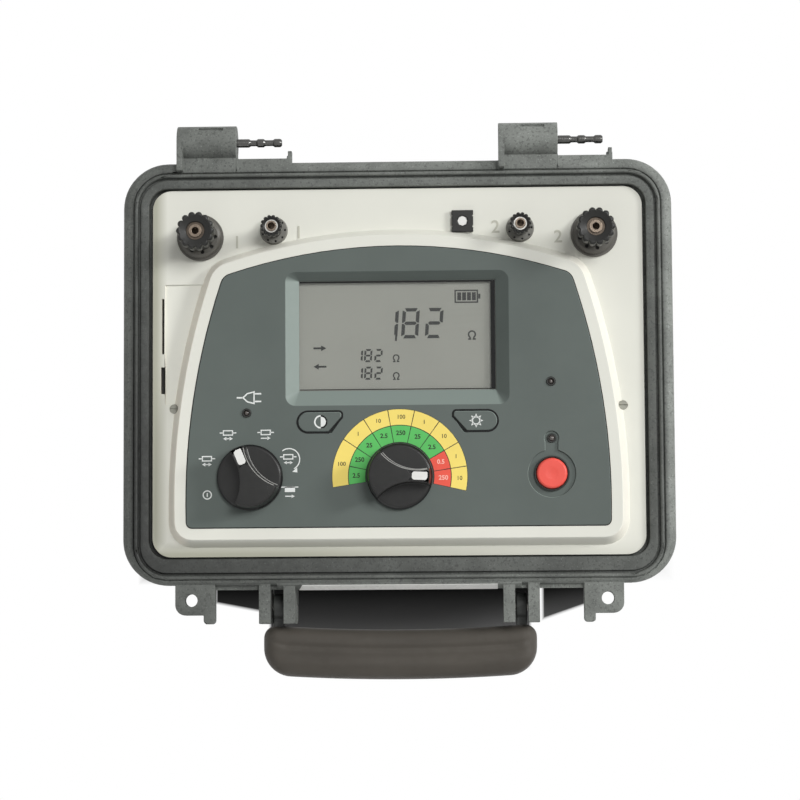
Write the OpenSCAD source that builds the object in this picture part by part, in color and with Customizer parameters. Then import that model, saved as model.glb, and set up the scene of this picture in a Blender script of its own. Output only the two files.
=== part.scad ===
// Portable micro ohmmeter in a two-part carrying case, shown with its lid slid off.
// Millimetres. +X is right, +Y is the hinge side, +Z is up, and the feet stand on z = 0.

/* [Case] */
// Width of the rim, side to side
case_w = 315; // [305:1:330]
// Depth of the rim, front to back
case_d = 243; // [238:1:255]
// Height of the rim's top face above the surface it stands on
rim_z = 122; // [116:1:140]
// Corner radius of the rim's outline
rim_corner_r = 26; // [25:0.5:32]
// Width of the rim band, from its outer edge to the opening
rim_band = 15; // [14:0.5:16]
// Height of the thick rim band
rim_h = 14; // [12:0.5:17]
// Rounding of the rim's outer edges
rim_edge_r = 5.5; // [4:0.5:6]
// Distance of the sealing tongue's middle from the rim's outer edge, at the sides and the back
tongue_in = 7.9; // [7:0.1:8.4]
// Distance of the sealing tongue's middle from the rim's front edge
tongue_front = 4.5; // [4.2:0.1:7]
// Width of the sealing tongue
tongue_w = 2; // [1.6:0.1:2.4]
// Height of the sealing tongue over the rim
tongue_h = 1.4; // [1.1:0.1:2]
// Width of the drain grooves beside the tongue
groove_w = 1.4; // [1:0.1:1.8]
// Depth of the drain groove inside the tongue
groove_deep = 2; // [1:0.1:3]
// Wall thickness of the tub
wall_t = 4; // [3:0.5:5]
// Thickness of the tub's floor
floor_t = 4; // [3:0.5:6]
// How far the rim stands out over the walls
rim_overhang = 6; // [4:0.5:7]
// How much each wall leans in between the rim and the floor
wall_lean = 5; // [2:0.5:8]
// Rounding of the tub's lower edges
base_round = 9; // [5:0.5:12]
// Width of the ledge that carries the panel
ledge_w = 9; // [7:0.5:10]
// Thickness of the stiffening ribs on the walls
wall_rib_t = 4; // [3:0.5:6]
// Distance of the side ribs from the middle of the case
side_rib_y = 58; // [45:1:70]
// Distance of the outer back ribs from the middle of the case
back_rib_x = 38; // [25:1:45]

/* [Feet] */
// Radius of a rubber foot where it stands
foot_r = 9; // [7:0.5:11]
// Height of a rubber foot under the tub
foot_h = 3; // [2.4:0.2:5]
// Distance of the feet from the rim's outer edge, sideways
foot_side = 39.5; // [38:0.5:58]
// Distance of the feet from the middle, front to back
foot_y = 84; // [70:1:86]

/* [Hinges] */
// Distance of the left hinge lug from the rim's left edge
left_lug_side = 31.5; // [29.5:0.5:37.5]
// Distance of the right hinge lug's left end from the rim's right edge
right_lug_side = 98.9; // [95.5:0.1:107.5]
// Length of a hinge lug
lug_len = 34; // [28:0.5:36]
// Radius of a hinge lug
lug_r = 9.9; // [8:0.1:10.4]
// Distance of the hinge axis behind the rim's back edge
hinge_back = 11.5; // [10.5:0.1:13]
// Depth of the hinge axis under the rim's top face
hinge_drop = 4; // [2:0.5:6]
// Radius of a hinge pin
hinge_pin_r = 2.45; // [2:0.05:3]
// Free length of a hinge pin
hinge_pin_out = 26; // [22:0.5:28]
// Length of the pin's plain shoulder next to the lug
hinge_shoulder = 7; // [5:0.5:8]

/* [Front] */
// Distance of the padlock ears from the rim's outer edge, sideways
ear_side = 30; // [27.5:0.5:33.5]
// Width of a padlock ear with its leg
ear_w = 22.6; // [20:0.2:24]
// Reach of a padlock ear from the rim's front edge
ear_reach = 17; // [15:0.5:20]
// Thickness of a padlock ear
ear_t = 8; // [5:0.5:9]
// Radius of the padlock hole
ear_hole_r = 3.6; // [2.5:0.1:4]
// Distance of the handle's arms from the middle
arm_x = 69.5; // [66:0.5:74]
// Thickness of each handle bracket
bracket_t = 6.6; // [5:0.2:8]
// Gap between the two brackets of a pair
bracket_gap = 7.4; // [6:0.2:9]
// Reach of the brackets from the rim's front edge
bracket_reach = 22; // [20:0.5:25]
// Rounding of a bracket about the handle's pivot
bracket_r = 9.5; // [8:0.1:10]
// Depth of the handle's pivot under the rim's top face
pivot_drop = 22; // [20:0.5:28]
// How far the strip under the rim stands out
strip_out = 2.6; // [1.5:0.1:3.5]

/* [Handle] */
// Length of the rubber grip
grip_len = 156.4; // [152:0.2:164]
// Width of the grip, from the finger side to the outer side
grip_w = 28.4; // [24:0.2:32]
// Thickness of the grip
grip_t = 22; // [18:0.5:23]
// How far the grip bows out in its middle
grip_bow = 3; // [1:0.5:6]
// Rounding of the grip's section
grip_edge_r = 8; // [5:0.5:9]
// Rounding of the grip's outer corners
grip_corner_r = 13; // [6:0.5:14]
// Thickness of a handle arm
arm_t = 6.2; // [4.5:0.1:6.4]
// Radius of the eye at the end of an arm
arm_eye_r = 8; // [6:0.5:9]
// Radius of a handle pivot pin
pivot_pin_r = 2.5; // [2:0.1:3]

/* [Panel] */
// Depth of the panel's flange under the rim's top face
panel_drop = 3; // [2:0.5:5]
// Gap between the panel and the rim's inner wall
panel_gap = 2; // [1:0.1:2.5]
// Thickness of the panel's flange
panel_t = 3; // [2.5:0.1:4]
// Height of the raised block over the flange
block_h = 8; // [6:0.5:12]
// Width of the ivory border round the fascia
block_border = 6.8; // [5:0.1:8]
// How far the block's foot spreads out
block_flare = 5.4; // [3:0.1:6]
// Thickness of the gasket under the panel
gasket_t = 0.6; // [0.4:0.1:1]
// Distance of the panel screws from the rim's outer edge
panel_screw_side = 29.3; // [28.5:0.1:31.5]
// Place of the panel screws, front to back
panel_screw_y = -20.6; // [-40:0.2:10]
// Radius of a panel screw's head
panel_screw_head_r = 2.7; // [2.2:0.1:3.4]

/* [Fascia] */
// Distance of the slate fascia's widest place from the rim's outer edge
fascia_side_gap = 37.2; // [36.5:0.1:41.5]
// Place of the fascia's lower edge
fascia_bottom_y = -89; // [-91:0.5:-88]
// Place of the top of the fascia's arched edge
fascia_top_y = 70.8; // [68:0.1:72]
// How far the arched top edge falls towards its ends
fascia_top_sag = 24.5; // [21.5:0.5:27]
// Radius of the curved side edges
fascia_side_r = 405; // [380:1:460]
// Height at which the side edges run straight up
fascia_side_y = -75; // [-80:1:-60]
// Rounding of the upper corners
fascia_top_corner_r = 7; // [4:0.5:9]
// Rounding of the lower corners
fascia_low_corner_r = 3; // [1:0.5:5]
// Thickness of the fascia
fascia_t = 3; // [2:0.2:4]
// How far the fascia stands proud of the block
fascia_proud = 0.4; // [0.2:0.1:1]
// Shadow gap round the fascia
fascia_gap = 0.5; // [0.2:0.1:0.8]

/* [Display] */
// Distance of the display's recess from the fascia's widest place
recess_side_gap = 56.65; // [55:0.05:60]
// Depth of the display's recess at the top, front to back
recess_d = 76.7; // [72:0.1:77.4]
// Middle of the recess, front to back
recess_y = 18.25; // [17.5:0.05:19]
// Rounding of the recess's upper corners
recess_corner_r = 5.7; // [4:0.1:8]
// How far each side wall of the recess leans in down to the window
recess_lean = 7.8; // [6:0.1:10]
// Depth of the window seen, front to back
window_d = 62.6; // [56:0.2:64]
// Middle of the window, front to back
window_y = 20.3; // [19.3:0.1:20.8]
// Thickness of the window
window_t = 2; // [1.5:0.1:2.4]
// Depth of the recess under the fascia's face
recess_deep = 4.9; // [4:0.1:6]

/* [Knobs] */
// Distance of the function knob from the fascia's widest place
function_side = 36.4; // [34:0.1:40]
// Place of both knobs, front to back
knob_y = -60.8; // [-63:0.1:-60]
// Place of the range knob, sideways
range_x = 1.1; // [-2:0.1:4]
// Radius of a knob's skirt
knob_r = 18.7; // [16:0.1:19]
// Height of a knob's skirt
knob_skirt_h = 4; // [3:0.5:6]
// Height of a knob with its grip
knob_h = 16; // [13:0.5:20]
// Half width of the grip at its waist
knob_waist = 3.4; // [2.5:0.1:4.5]
// Radius of the hollow sides of the grip
knob_hollow_r = 27; // [25:0.5:34]
// Radius of a switch shaft
shaft_r = 3; // [2.5:0.1:3.2]
// Direction in which the function knob points
function_angle = 112.5; // [100:0.5:125]
// Direction in which the range knob points
range_angle = -3; // [-12:0.5:10]

/* [Buttons] */
// Distance of each display button's middle from the end of the recess
key_side = 19.45; // [17.5:0.05:21]
// Length of a display button
key_len = 24.4; // [22:0.2:26]
// Width of a display button
key_w = 11; // [9:0.2:12]
// How much the slanted end of a display button runs back
key_slant = 7.4; // [4:0.2:9]
// Gap round a display button
key_gap = 0.9; // [0.4:0.1:1.2]
// Travel of a display button
key_travel = 1; // [0.5:0.1:1.4]
// Distance of the test button from the fascia's widest place
test_side = 33.1; // [30.5:0.1:35.5]
// Place of the test button, front to back
test_y = -59.7; // [-62:0.1:-57]
// Radius of the test button
test_r = 8.7; // [7:0.1:9.4]
// Travel of the test button
test_travel = 2.5; // [1.5:0.1:3]
// Radius of the shallow dish round the test button
dish_r = 13.6; // [12.5:0.1:15]

/* [Lamps] */
// Radius of a lamp's black ring
lamp_ring_r = 2.6; // [2.2:0.1:3]
// Radius of a lamp's lens
lamp_r = 1.6; // [1.2:0.1:1.9]
// Distance of the charge lamp from the fascia's widest place
charge_side = 34.4; // [32.5:0.1:38.5]
// Place of the charge lamp, front to back
charge_y = -24; // [-28:0.1:-22]
// Place of the hazard lamp, front to back
hazard_y = -7.4; // [-12:0.1:-4]
// Place of the test lamp, front to back
test_lamp_y = -39.7; // [-41:0.1:-38.5]

/* [Terminals] */
// Distance of the current terminals from the rim's outer edge
c_post_side = 44.5; // [43.5:0.5:49.5]
// Place of the current terminals, front to back
c_post_y = 78; // [76:0.5:84]
// Distance of the potential terminals from the rim's outer edge
p_post_side = 86.8; // [81.5:0.1:91.5]
// Place of the potential terminals, front to back
p_post_y = 81.7; // [80:0.1:88]
// Radius of the test-lead sockets
socket_r = 2; // [1.5:0.1:2.1]
// Radius of a current terminal's flange
c_flange_r = 13.4; // [12.6:0.1:15]
// Radius of a potential terminal's flange
p_flange_r = 8; // [7.8:0.1:10]
// Radius of a current terminal's cap
c_cap_r = 10.9; // [9.8:0.1:11.4]
// Radius of a potential terminal's cap
p_cap_r = 6.3; // [6.1:0.1:6.8]
// Height of a current terminal
c_post_h = 31; // [27:0.5:36]
// Height of a potential terminal
p_post_h = 21.5; // [19:0.5:26]
// Distance of the remote socket from the rim's right edge
remote_side = 119.8; // [115.5:0.1:123.5]
// Place of the remote socket, front to back
remote_y = 86; // [84:0.5:90]
// Width of the remote socket
remote_w = 12.4; // [11:0.2:14]

/* [Inside] */
// Distance of the main board's ends from the fascia's widest place
board_side = 10.3; // [8.5:0.1:13]
// Depth of the main board
board_d = 145; // [144:1:150]
// Depth of the main board's top under the block's top
board_drop = 25; // [23:0.5:28]
// Thickness of the circuit boards
board_t = 1.6; // [1:0.1:2]
// Radius of a battery cell
cell_r = 16.5; // [14:0.5:17]
// Length of a battery cell
cell_len = 61; // [50:0.5:62]
// Number of fins on the heat sink
fin_count = 11; // [6:1:14]

/* [Hidden] */
$fn = 48;

// Fits and small working values that several pieces share
cut = 1;            // overrun of a cut past a face
run_fit = 0.05;     // radial clearance of a turning or sliding fit
still_fit = 0.02;   // radial clearance of a pressed or screwed fit
seat_gap = 0.3;     // working gap between a moving piece and its seat
skin = 0.2;         // thickness of a thin layer inside a hull
half = 1 / 2;

// Levels, from the surface up
tub_bottom_z = foot_h;
tub_floor_z = tub_bottom_z + floor_t;
band_bottom_z = rim_z - rim_h;
panel_z = rim_z - panel_drop;
ledge_z = panel_z - panel_t - gasket_t;
block_z = panel_z + block_h;
fascia_z = block_z + fascia_proud;
plate_z = fascia_z - fascia_t;
plate_t = 2.4;
plate_under_z = plate_z - plate_t;
window_z = fascia_z - recess_deep;
board_z = block_z - board_drop;
board_under_z = board_z - board_t;
pivot_z = rim_z - pivot_drop;
hinge_z = rim_z - hinge_drop;

// Places across the case
half_w = case_w / 2;
fascia_half_w = half_w - fascia_side_gap;
fascia_top_r = (pow(fascia_half_w, 2) + pow(fascia_top_sag, 2)) / (2 * fascia_top_sag);
recess_w = 2 * (fascia_half_w - recess_side_gap);
window_w = recess_w - 2 * recess_lean;
function_x = function_side - fascia_half_w;
test_x = fascia_half_w - test_side;
charge_x = charge_side - fascia_half_w;
key_x = recess_w / 2 - key_side;
c_post_x = half_w - c_post_side;
p_post_x = half_w - p_post_side;
remote_x = half_w - remote_side;
panel_screw_x = half_w - panel_screw_side;
foot_x = half_w - foot_side;
ear_out_x = half_w - ear_side;
left_lug_x = left_lug_side - half_w;
right_lug_x = half_w - right_lug_side;
board_w = 2 * (fascia_half_w - board_side);

// Places along the front and the back
front_y = -case_d / 2;
back_y = case_d / 2;
hinge_y = back_y + hinge_back;
pivot_y = front_y - bracket_reach + bracket_r;
grip_in_y = front_y - bracket_reach - 2 * seat_gap;
grip_out_y = grip_in_y - grip_w - grip_bow;
// The model is shifted so that the middle of its whole depth lies at the origin
case_shift = -(hinge_y + lug_r + grip_out_y) / 2;

// Rim details
rim_root = 1;              // how far a rib's foot is sunk into its wall
ledge_t = rim_h - (rim_z - ledge_z);
rib_overrun = 2;
crown_w = 3;
crown_drop = 0.7;

// Hinge details
lug_web_t = 12;            // height of the web that carries a lug
lug_plate_t = 3.4;         // end plate at a lug's closed end
lug_slot_len = 14;
lug_slot_back = 7;         // distance of the slot behind the hinge axis
lug_slot_w = 1.7;
saddle_out = 3.6;          // how far the saddle under a pin stands behind the rim
saddle_lump = 3.2;
pin_waist_r = 1.75;
pin_band = 4.2;            // length of a band or a waist on a pin
pin_slot_w = 0.9;
pin_sunk = 22;             // length of a pin's thicker root, which is pressed into its lug
pin_root_r = hinge_pin_r + 0.55;
pin_nose = 1;

// Front details
ear_leg_t = 6.4;
ear_corner_r = 6;
leg_h = 10;
leg_round = 2.2;
ear_drop = 3;              // depth of the ear's top under the rim
ear_hole_in = 9.1;         // distance of the padlock hole from the ear's outer side
ear_hole_x = ear_out_x - ear_hole_in;
strip_h = 9;
strip_slope = 4;

// Small screws
screw_r = 1.5;
screw_head_h = 1.4;
screw_slot_w = 0.8;
screw_slot_deep = 0.6;
boss_r = 3.5;
foot_screw_head_r = 3.1;
foot_screw_len = 8;
foot_boss_r = 5;
foot_boss_h = 6;
foot_spread = 0.6;
panel_screw_len = 12;
panel_boss_r = 5.4;
panel_boss_len = 20;
board_boss_x = board_w / 2 - 2 * boss_r;
board_boss_low_y = -76;
board_boss_top_x = board_w / 2 - 24;
board_boss_top_y = 42;
board_low_y = -85;
board_mid_y = board_low_y + board_d / 2;

// Handle details
core_bar_w = 12;
core_bar_t = 9;
grip_groove_r = 14;        // radius of the long finger grooves
grip_groove_deep = 0.7;
grip_groove_off = 7;       // distance of the grooves from the grip's middle line

// Gasket under the panel
gasket_inset = 0.5;        // how far the gasket stays inside the panel's edge

// Left bay of the panel
bay_deep = 1.2;
bay_left_x = 24.3 - half_w;
bay_top_y = 51;
bay_low_y = -18;
bay_slot_x = bay_left_x - 1.4;
long_slot_y = 27;
long_slot_len = 32;
long_slot_w = 1.4;
short_slot_y = -4.2;
short_slot_len = 15.4;
short_slot_w = 2.4;

// Knob details
knob_edge = 1.4;
knob_tip_in = 0.9;         // how far the grip stays inside the skirt's edge
knob_dip = 9;              // place of the waist along the grip, towards its tip
knob_top_edge = 0.7;
pointer_w = 4.6;
pointer_len = 9;
pointer_round = 1.5;
pointer_in = 2.4;
pointer_t = 0.8;
switch_w = 30;
switch_h = 11;
switch_bush_r = 4.6;
switch_bush_up = 8;
shaft_into_knob = 11;
shaft_foot = 5;

// Button details
key_proud = 0.9;
key_lip = 1.1;             // width of a button's retaining flange
key_lip_t = 1.2;
key_clear = 0.55;          // clearance between a button's flange and the display's frame
plunger_r = 2.6;
tact_w = 10;
tact_h = 6;
tact_well = 4;
test_proud = 2.6;
test_ring_t = 1;
test_ring_h = 2;
dish_deep = 1.2;
dish_neck_w = 7.4;
dish_end_r = 4.2;

// Lamp details
lamp_ring_up = 0.7;
lamp_len = 6;

// Terminal details
post_flange_share = 0.055;
lobe_count = 14;
lobe_share = 0.15;
head_share = 0.29;          // height of a cap's scalloped head, as a share of the terminal's height
neck_share = 0.72;          // radius of the neck under the head, as a share of the cap's radius
c_dimple_ring_r = 8.7;
p_dimple_ring_r = 6.5;
socket_wall = 1.7;         // metal round the socket in a stem
p_socket_wall = 0.95;
insert_wall_share = 0.13;   // metal of an insert, as a share of its cap's radius
cap_dish_deep = 2.6;
stem_below = 14;
nut_t = 4;
nut_wall = 3.2;
remote_h = 2.6;
remote_hole_r = 3;
remote_core_r = 2.35;
remote_wall = 1;
remote_deep = 9;

// Inside details
pillar_r = 2.6;
cell_wall = 0.6;
strap_t = 1.2;
strap_w = 22;
tray_x = 91.5 - half_w;
tray_h = 12;
tray_wall = 3;
sink_y = 48;
sink_in = 7.7;             // distance of the heat sink from the battery tray
sink_side = 47.5;          // distance of the heat sink from the rim's outer edge
sink_d = 78;
sink_base = 6;
sink_h = 42;
fin_t = 2;
power_y = -48;
power_in = 13.7;           // distance of the power board from the battery tray
power_side = 49.5;         // distance of the power board from the rim's outer edge
power_d = 82;
power_up = 10;
core_w = 54;
core_d = 46;
core_t = 18;

case_colour = [0.36, 0.38, 0.38];
ivory = [0.86, 0.86, 0.81];
slate = [0.36, 0.40, 0.42];
black = [0.08, 0.08, 0.08];
metal = [0.74, 0.74, 0.72];
brass = [0.78, 0.66, 0.38];
green_board = [0.12, 0.36, 0.22];

// Shared shapes

module at_case() {
    translate([0, case_shift, 0]) children();
}

// A flat rectangle with round corners
module rounded(w, d, r) {
    square([w - 2 * r, d], center = true);
    square([w, d - 2 * r], center = true);
    for (sx = [-1, 1], sy = [-1, 1])
        translate([sx * (w / 2 - r), sy * (d / 2 - r)]) circle(r = r);
}

module rounded_plate(w, d, r, z, t) {
    translate([0, 0, z]) linear_extrude(t) rounded(w, d, r);
}

// A profile led round a rectangle with round corners; the profile's x runs outward from the corner's centre
module ring_sweep(w, d, r) {
    run_x = w - 2 * r;
    run_y = d - 2 * r;
    corners = [[1, 1], [-1, 1], [-1, -1], [1, -1]];
    for (i = [0:3])
        translate([corners[i][0] * run_x / 2, corners[i][1] * run_y / 2, 0])
            rotate(90 * i) rotate_extrude(angle = 90) children();
    for (side = [0, 180]) rotate(side) {
        translate([run_x / 2, run_y / 2, 0]) rotate([90, 0, 0]) linear_extrude(run_y) children();
        translate([-run_x / 2, run_y / 2, 0]) rotate([90, 0, 90]) linear_extrude(run_x) children();
    }
}

// A round bar along X
module bar_x(x, y, z, r, len) {
    translate([x, y, z]) rotate([0, 90, 0]) cylinder(r = r, h = len);
}

// A slice of a piece that is drawn in the YZ plane, from x on
module slice_x(x, t) {
    translate([x, 0, 0]) rotate([90, 0, 90]) linear_extrude(t) children();
}

// A round-headed screw whose head sits on z, with its shank going down
module screw(z, head_r, len) {
    difference() {
        translate([0, 0, z]) cylinder(r = head_r, h = screw_head_h);
        translate([-head_r, -screw_slot_w / 2, z + screw_head_h - screw_slot_deep])
            cube([2 * head_r, screw_slot_w, screw_slot_deep + cut]);
    }
    translate([0, 0, z - len]) cylinder(r = screw_r, h = len);
}

// Outline of the fascia

function arc_points(c, r, from, to, n) =
    [for (i = [0:n]) let (a = from + (to - from) * i / n) c + r * [cos(a), sin(a)]];
function direction(p) = atan2(p[1], p[0]);
// The point at distance ra from a and rb from b, on the left of the way from a to b
function circles_meet(a, ra, b, rb) =
    let (ab = b - a, gap = norm(ab), u = ab / gap,
        along = (ra * ra - rb * rb + gap * gap) / (2 * gap),
        off = sqrt(ra * ra - along * along))
    a + along * u + off * [-u[1], u[0]];
function flip(points) = [for (i = [len(points) - 1:-1:0]) [-points[i][0], points[i][1]]];

side_c = [fascia_half_w - fascia_side_r, fascia_side_y];
top_c = [0, fascia_top_y - fascia_top_r];
top_corner_c = circles_meet(side_c, fascia_side_r - fascia_top_corner_r,
    top_c, fascia_top_r - fascia_top_corner_r);
low_corner_y = fascia_bottom_y + fascia_low_corner_r;
low_corner_c = [side_c[0] + sqrt(pow(fascia_side_r - fascia_low_corner_r, 2)
    - pow(low_corner_y - fascia_side_y, 2)), low_corner_y];

// Right half of the outline, grown outward by grow
function fascia_half(grow) =
    let (low = direction(low_corner_c - side_c), high = direction(top_corner_c - side_c),
        top = direction(top_corner_c - top_c))
    concat(
        arc_points(low_corner_c, fascia_low_corner_r + grow, -90, low, 5),
        arc_points(side_c, fascia_side_r + grow, low, high, 14),
        arc_points(top_corner_c, fascia_top_corner_r + grow, high, top, 7),
        arc_points(top_c, fascia_top_r + grow, top, 90, 9));
module fascia_outline(grow) {
    right = fascia_half(grow);
    polygon(concat(right, flip([for (i = [0:len(right) - 2]) right[i]])));
}

// Case

module rim_profile() {
    translate([rim_corner_r, 0]) mirror([1, 0]) difference() {
        union() {
            translate([rim_edge_r, band_bottom_z]) square([rim_band - rim_edge_r, rim_h]);
            translate([0, band_bottom_z + rim_edge_r]) square([rim_band, rim_h - 2 * rim_edge_r]);
            for (z = [band_bottom_z + rim_edge_r, rim_z - rim_edge_r])
                translate([rim_edge_r, z]) circle(r = rim_edge_r);
            translate([rim_band - cut, band_bottom_z]) square([ledge_w + cut, ledge_t]);
        }
        // The band falls a little towards the panel
        polygon([[rim_band - crown_w, rim_z], [rim_band + cut, rim_z - crown_drop],
            [rim_band + cut, rim_z + cut], [rim_band - crown_w, rim_z + cut]]);
    }
}

// The sealing tongue runs round closer to the front edge than to the others
module tongue_sweep() {
    translate([0, (tongue_front - tongue_in) / 2, 0])
        ring_sweep(case_w - 2 * tongue_in, case_d - tongue_in - tongue_front, rim_corner_r - tongue_in)
            translate([rim_corner_r - tongue_in, rim_z]) children();
}

module tongue_ridge() {
    translate([-tongue_w / 2, -tongue_h]) square([tongue_w, 2 * tongue_h - tongue_w / 2]);
    translate([0, tongue_h - tongue_w / 2]) circle(d = tongue_w);
}

module tongue_grooves() {
    translate([-tongue_w / 2 - groove_w, -groove_deep]) square([groove_w, groove_deep + cut]);
    translate([tongue_w / 2, -groove_deep / 2]) square([groove_w / 2, groove_deep / 2 + cut]);
}

// The tub's walls and floor as one leaning, round-edged block, shrunk by the wall for its hollow
module tub_block(shrink, bottom, top) {
    w = case_w - 2 * (rim_overhang + shrink);
    d = case_d - 2 * (rim_overhang + shrink);
    r = rim_corner_r - rim_overhang - shrink / 2;
    edge = base_round - shrink / 2;
    hull() {
        translate([0, 0, top - skin]) linear_extrude(skin) rounded(w, d, r, $fn = 32);
        for (a = [0:30:90]) {
            in = wall_lean + edge * (1 - cos(a));
            translate([0, 0, bottom + edge * (1 - sin(a))])
                linear_extrude(skin) rounded(w - 2 * in, d - 2 * in, r, $fn = 32);
        }
    }
}

// A tapering rib on a wall, drawn for the right-hand wall at distance reach from the middle
module wall_rib(reach) {
    inner = reach - rim_overhang - rim_root;
    low = tub_bottom_z + base_round;
    rotate([90, 0, 0]) translate([0, 0, -wall_rib_t / 2]) linear_extrude(wall_rib_t)
        polygon([[inner, band_bottom_z + rib_overrun],
            [reach - rim_edge_r / 2, band_bottom_z + rib_overrun],
            [reach - rim_overhang - wall_lean, low], [inner - wall_lean, low]]);
}

module wall_ribs() {
    for (side = [0, 180], y = [-side_rib_y, side_rib_y])
        rotate(side) translate([0, y, 0]) wall_rib(case_w / 2);
    for (x = [-back_rib_x, 0, back_rib_x])
        translate([x, 0, 0]) rotate(90) wall_rib(case_d / 2);
}

module hinge_lug(x) {
    inside_y = back_y - rim_edge_r;
    bar_x(x, hinge_y, hinge_z, lug_r, lug_len);
    translate([x, inside_y, rim_z - lug_web_t]) cube([lug_len, hinge_y - inside_y, lug_web_t]);
    translate([x, inside_y, rim_z - lug_web_t])
        cube([lug_plate_t, hinge_y - inside_y, lug_web_t + lug_r - hinge_drop]);
    translate([x + lug_len - cut, inside_y, rim_z - lug_web_t])
        cube([hinge_pin_out + 2 * saddle_lump, back_y + saddle_out - inside_y, lug_web_t - rim_root]);
    translate([x + lug_len + hinge_pin_out + saddle_lump - cut, inside_y, rim_z - lug_web_t])
        cube([saddle_lump, back_y + 2 * saddle_out - inside_y, lug_web_t / 2]);
}

module hinge_lug_cuts(x) {
    bar_x(x + lug_len - pin_sunk, hinge_y, hinge_z, pin_root_r + still_fit, pin_sunk + cut);
    slot_z = hinge_z + sqrt(pow(lug_r, 2) - pow(lug_slot_back, 2)) - groove_deep;
    translate([x + lug_len / 2 - lug_slot_len / 3, hinge_y + lug_slot_back - lug_slot_w / 2, slot_z])
        cube([lug_slot_len, lug_slot_w, lug_r]);
    // A trough keeps the saddle clear of the lid's hinge eye
    bar_x(x + lug_len, hinge_y, hinge_z, lug_r, hinge_pin_out + saddle_lump);
}

// A padlock ear with its leg, drawn on the right-hand side
module ear() {
    inner_x = ear_out_x - ear_w;
    root_y = front_y + rim_edge_r;
    low_y = front_y - ear_reach;
    translate([0, 0, rim_z - ear_drop - ear_t]) linear_extrude(ear_t) {
        translate([inner_x, low_y]) square([ear_w - ear_corner_r, root_y - low_y]);
        translate([inner_x, low_y + ear_corner_r]) square([ear_w, root_y - low_y - ear_corner_r]);
        translate([ear_out_x - ear_corner_r, low_y + ear_corner_r]) circle(r = ear_corner_r);
    }
    // The leg beside it reaches further out and has a round end
    leg_y = front_y - bracket_reach + leg_round;
    translate([inner_x, 0, rim_z - ear_drop - leg_h]) linear_extrude(leg_h) {
        translate([0, leg_y]) square([ear_leg_t, root_y - leg_y]);
        translate([leg_round, leg_y - leg_round]) square([ear_leg_t - 2 * leg_round, 2 * leg_round]);
        for (x = [leg_round, ear_leg_t - leg_round]) translate([x, leg_y]) circle(r = leg_round);
    }
}

// Side view of a bracket or leg: square above, round about the pivot's height below
module bracket_outline(drop) {
    wall_y = front_y + rim_overhang + rim_root;
    translate([front_y - bracket_reach, rim_z - drop])
        square([bracket_reach + wall_y - front_y, drop - ear_drop]);
    translate([pivot_y, rim_z - drop]) circle(r = bracket_r);
    translate([pivot_y, rim_z - drop - bracket_r])
        square([wall_y - pivot_y + wall_lean / 2, bracket_r + cut]);
}

module front_strip() {
    inner = front_y + rim_edge_r;
    low = rim_z - rim_h + rim_edge_r / 2;
    top = low + strip_h;
    slice_x(-arm_x, 2 * arm_x)
        polygon([[inner, low], [front_y - strip_out, low], [front_y - strip_out, top - strip_slope],
            [front_y, top], [inner, top]]);
    slice_x(-ear_out_x + ear_corner_r, 2 * (ear_out_x - ear_corner_r))
        polygon([[inner, low], [front_y - strip_out, low], [front_y - strip_out, low + strip_h / 2],
            [inner, low + strip_h / 2]]);
}

module handle_brackets() {
    for (s = [-1, 1], t = [-1, 1]) {
        x = s * arm_x + t * (bracket_gap + bracket_t) / 2;
        slice_x(x - bracket_t / 2, bracket_t) bracket_outline(pivot_drop);
    }
}

module panel_boss() {
    translate([0, 0, ledge_z - panel_boss_len]) cylinder(r = panel_boss_r, h = panel_boss_len);
    translate([0, -wall_rib_t / 2, ledge_z - panel_boss_len])
        cube([case_w / 2 - rim_overhang - wall_t + rim_root - panel_screw_x, wall_rib_t, panel_boss_len]);
}

module case_tub() color(case_colour) at_case() difference() {
    union() {
        difference() {
            union() {
                tub_block(0, tub_bottom_z, band_bottom_z + rib_overrun);
                wall_ribs();
                handle_brackets();
                for (side = [0, 1]) mirror([side, 0, 0]) ear();
            }
            tub_block(wall_t, tub_floor_z, band_bottom_z + rib_overrun + cut);
        }
        difference() {
            ring_sweep(case_w, case_d, rim_corner_r) rim_profile();
            tongue_sweep() tongue_grooves();
        }
        tongue_sweep() tongue_ridge();
        front_strip();
        for (x = [left_lug_x, right_lug_x]) hinge_lug(x);
        for (sx = [-1, 1], sy = [-1, 1])
            translate([sx * foot_x, sy * foot_y, tub_floor_z - cut])
                cylinder(r = foot_boss_r, h = foot_boss_h + cut);
        for (side = [0, 1]) mirror([side, 0, 0])
            translate([panel_screw_x, panel_screw_y, 0]) panel_boss();
    }
    for (x = [left_lug_x, right_lug_x]) hinge_lug_cuts(x);
    for (s = [-1, 1]) {
        translate([s * ear_hole_x, front_y - ear_reach / 2, rim_z - ear_drop - ear_t - cut])
            cylinder(r = ear_hole_r, h = ear_t + 2 * cut);
        bar_x(s * arm_x - bracket_gap / 2 - bracket_t - cut, pivot_y, pivot_z, pivot_pin_r + still_fit,
            bracket_gap + 2 * (bracket_t + cut));
        translate([s * panel_screw_x, panel_screw_y, ledge_z - panel_screw_len])
            cylinder(r = screw_r + still_fit, h = panel_screw_len + cut);
    }
    for (sx = [-1, 1], sy = [-1, 1])
        translate([sx * foot_x, sy * foot_y, tub_bottom_z - cut])
            cylinder(r = screw_r + still_fit, h = foot_screw_len + cut);
}

module rubber_feet() color(black) at_case()
    for (sx = [-1, 1], sy = [-1, 1]) translate([sx * foot_x, sy * foot_y, 0]) difference() {
        cylinder(r1 = foot_r, r2 = foot_r + foot_spread, h = foot_h);
        translate([0, 0, -cut]) cylinder(r = screw_r + still_fit, h = foot_h + 2 * cut);
        translate([0, 0, -cut]) cylinder(r = foot_screw_head_r + still_fit, h = foot_h / 2 + cut);
    }

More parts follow.
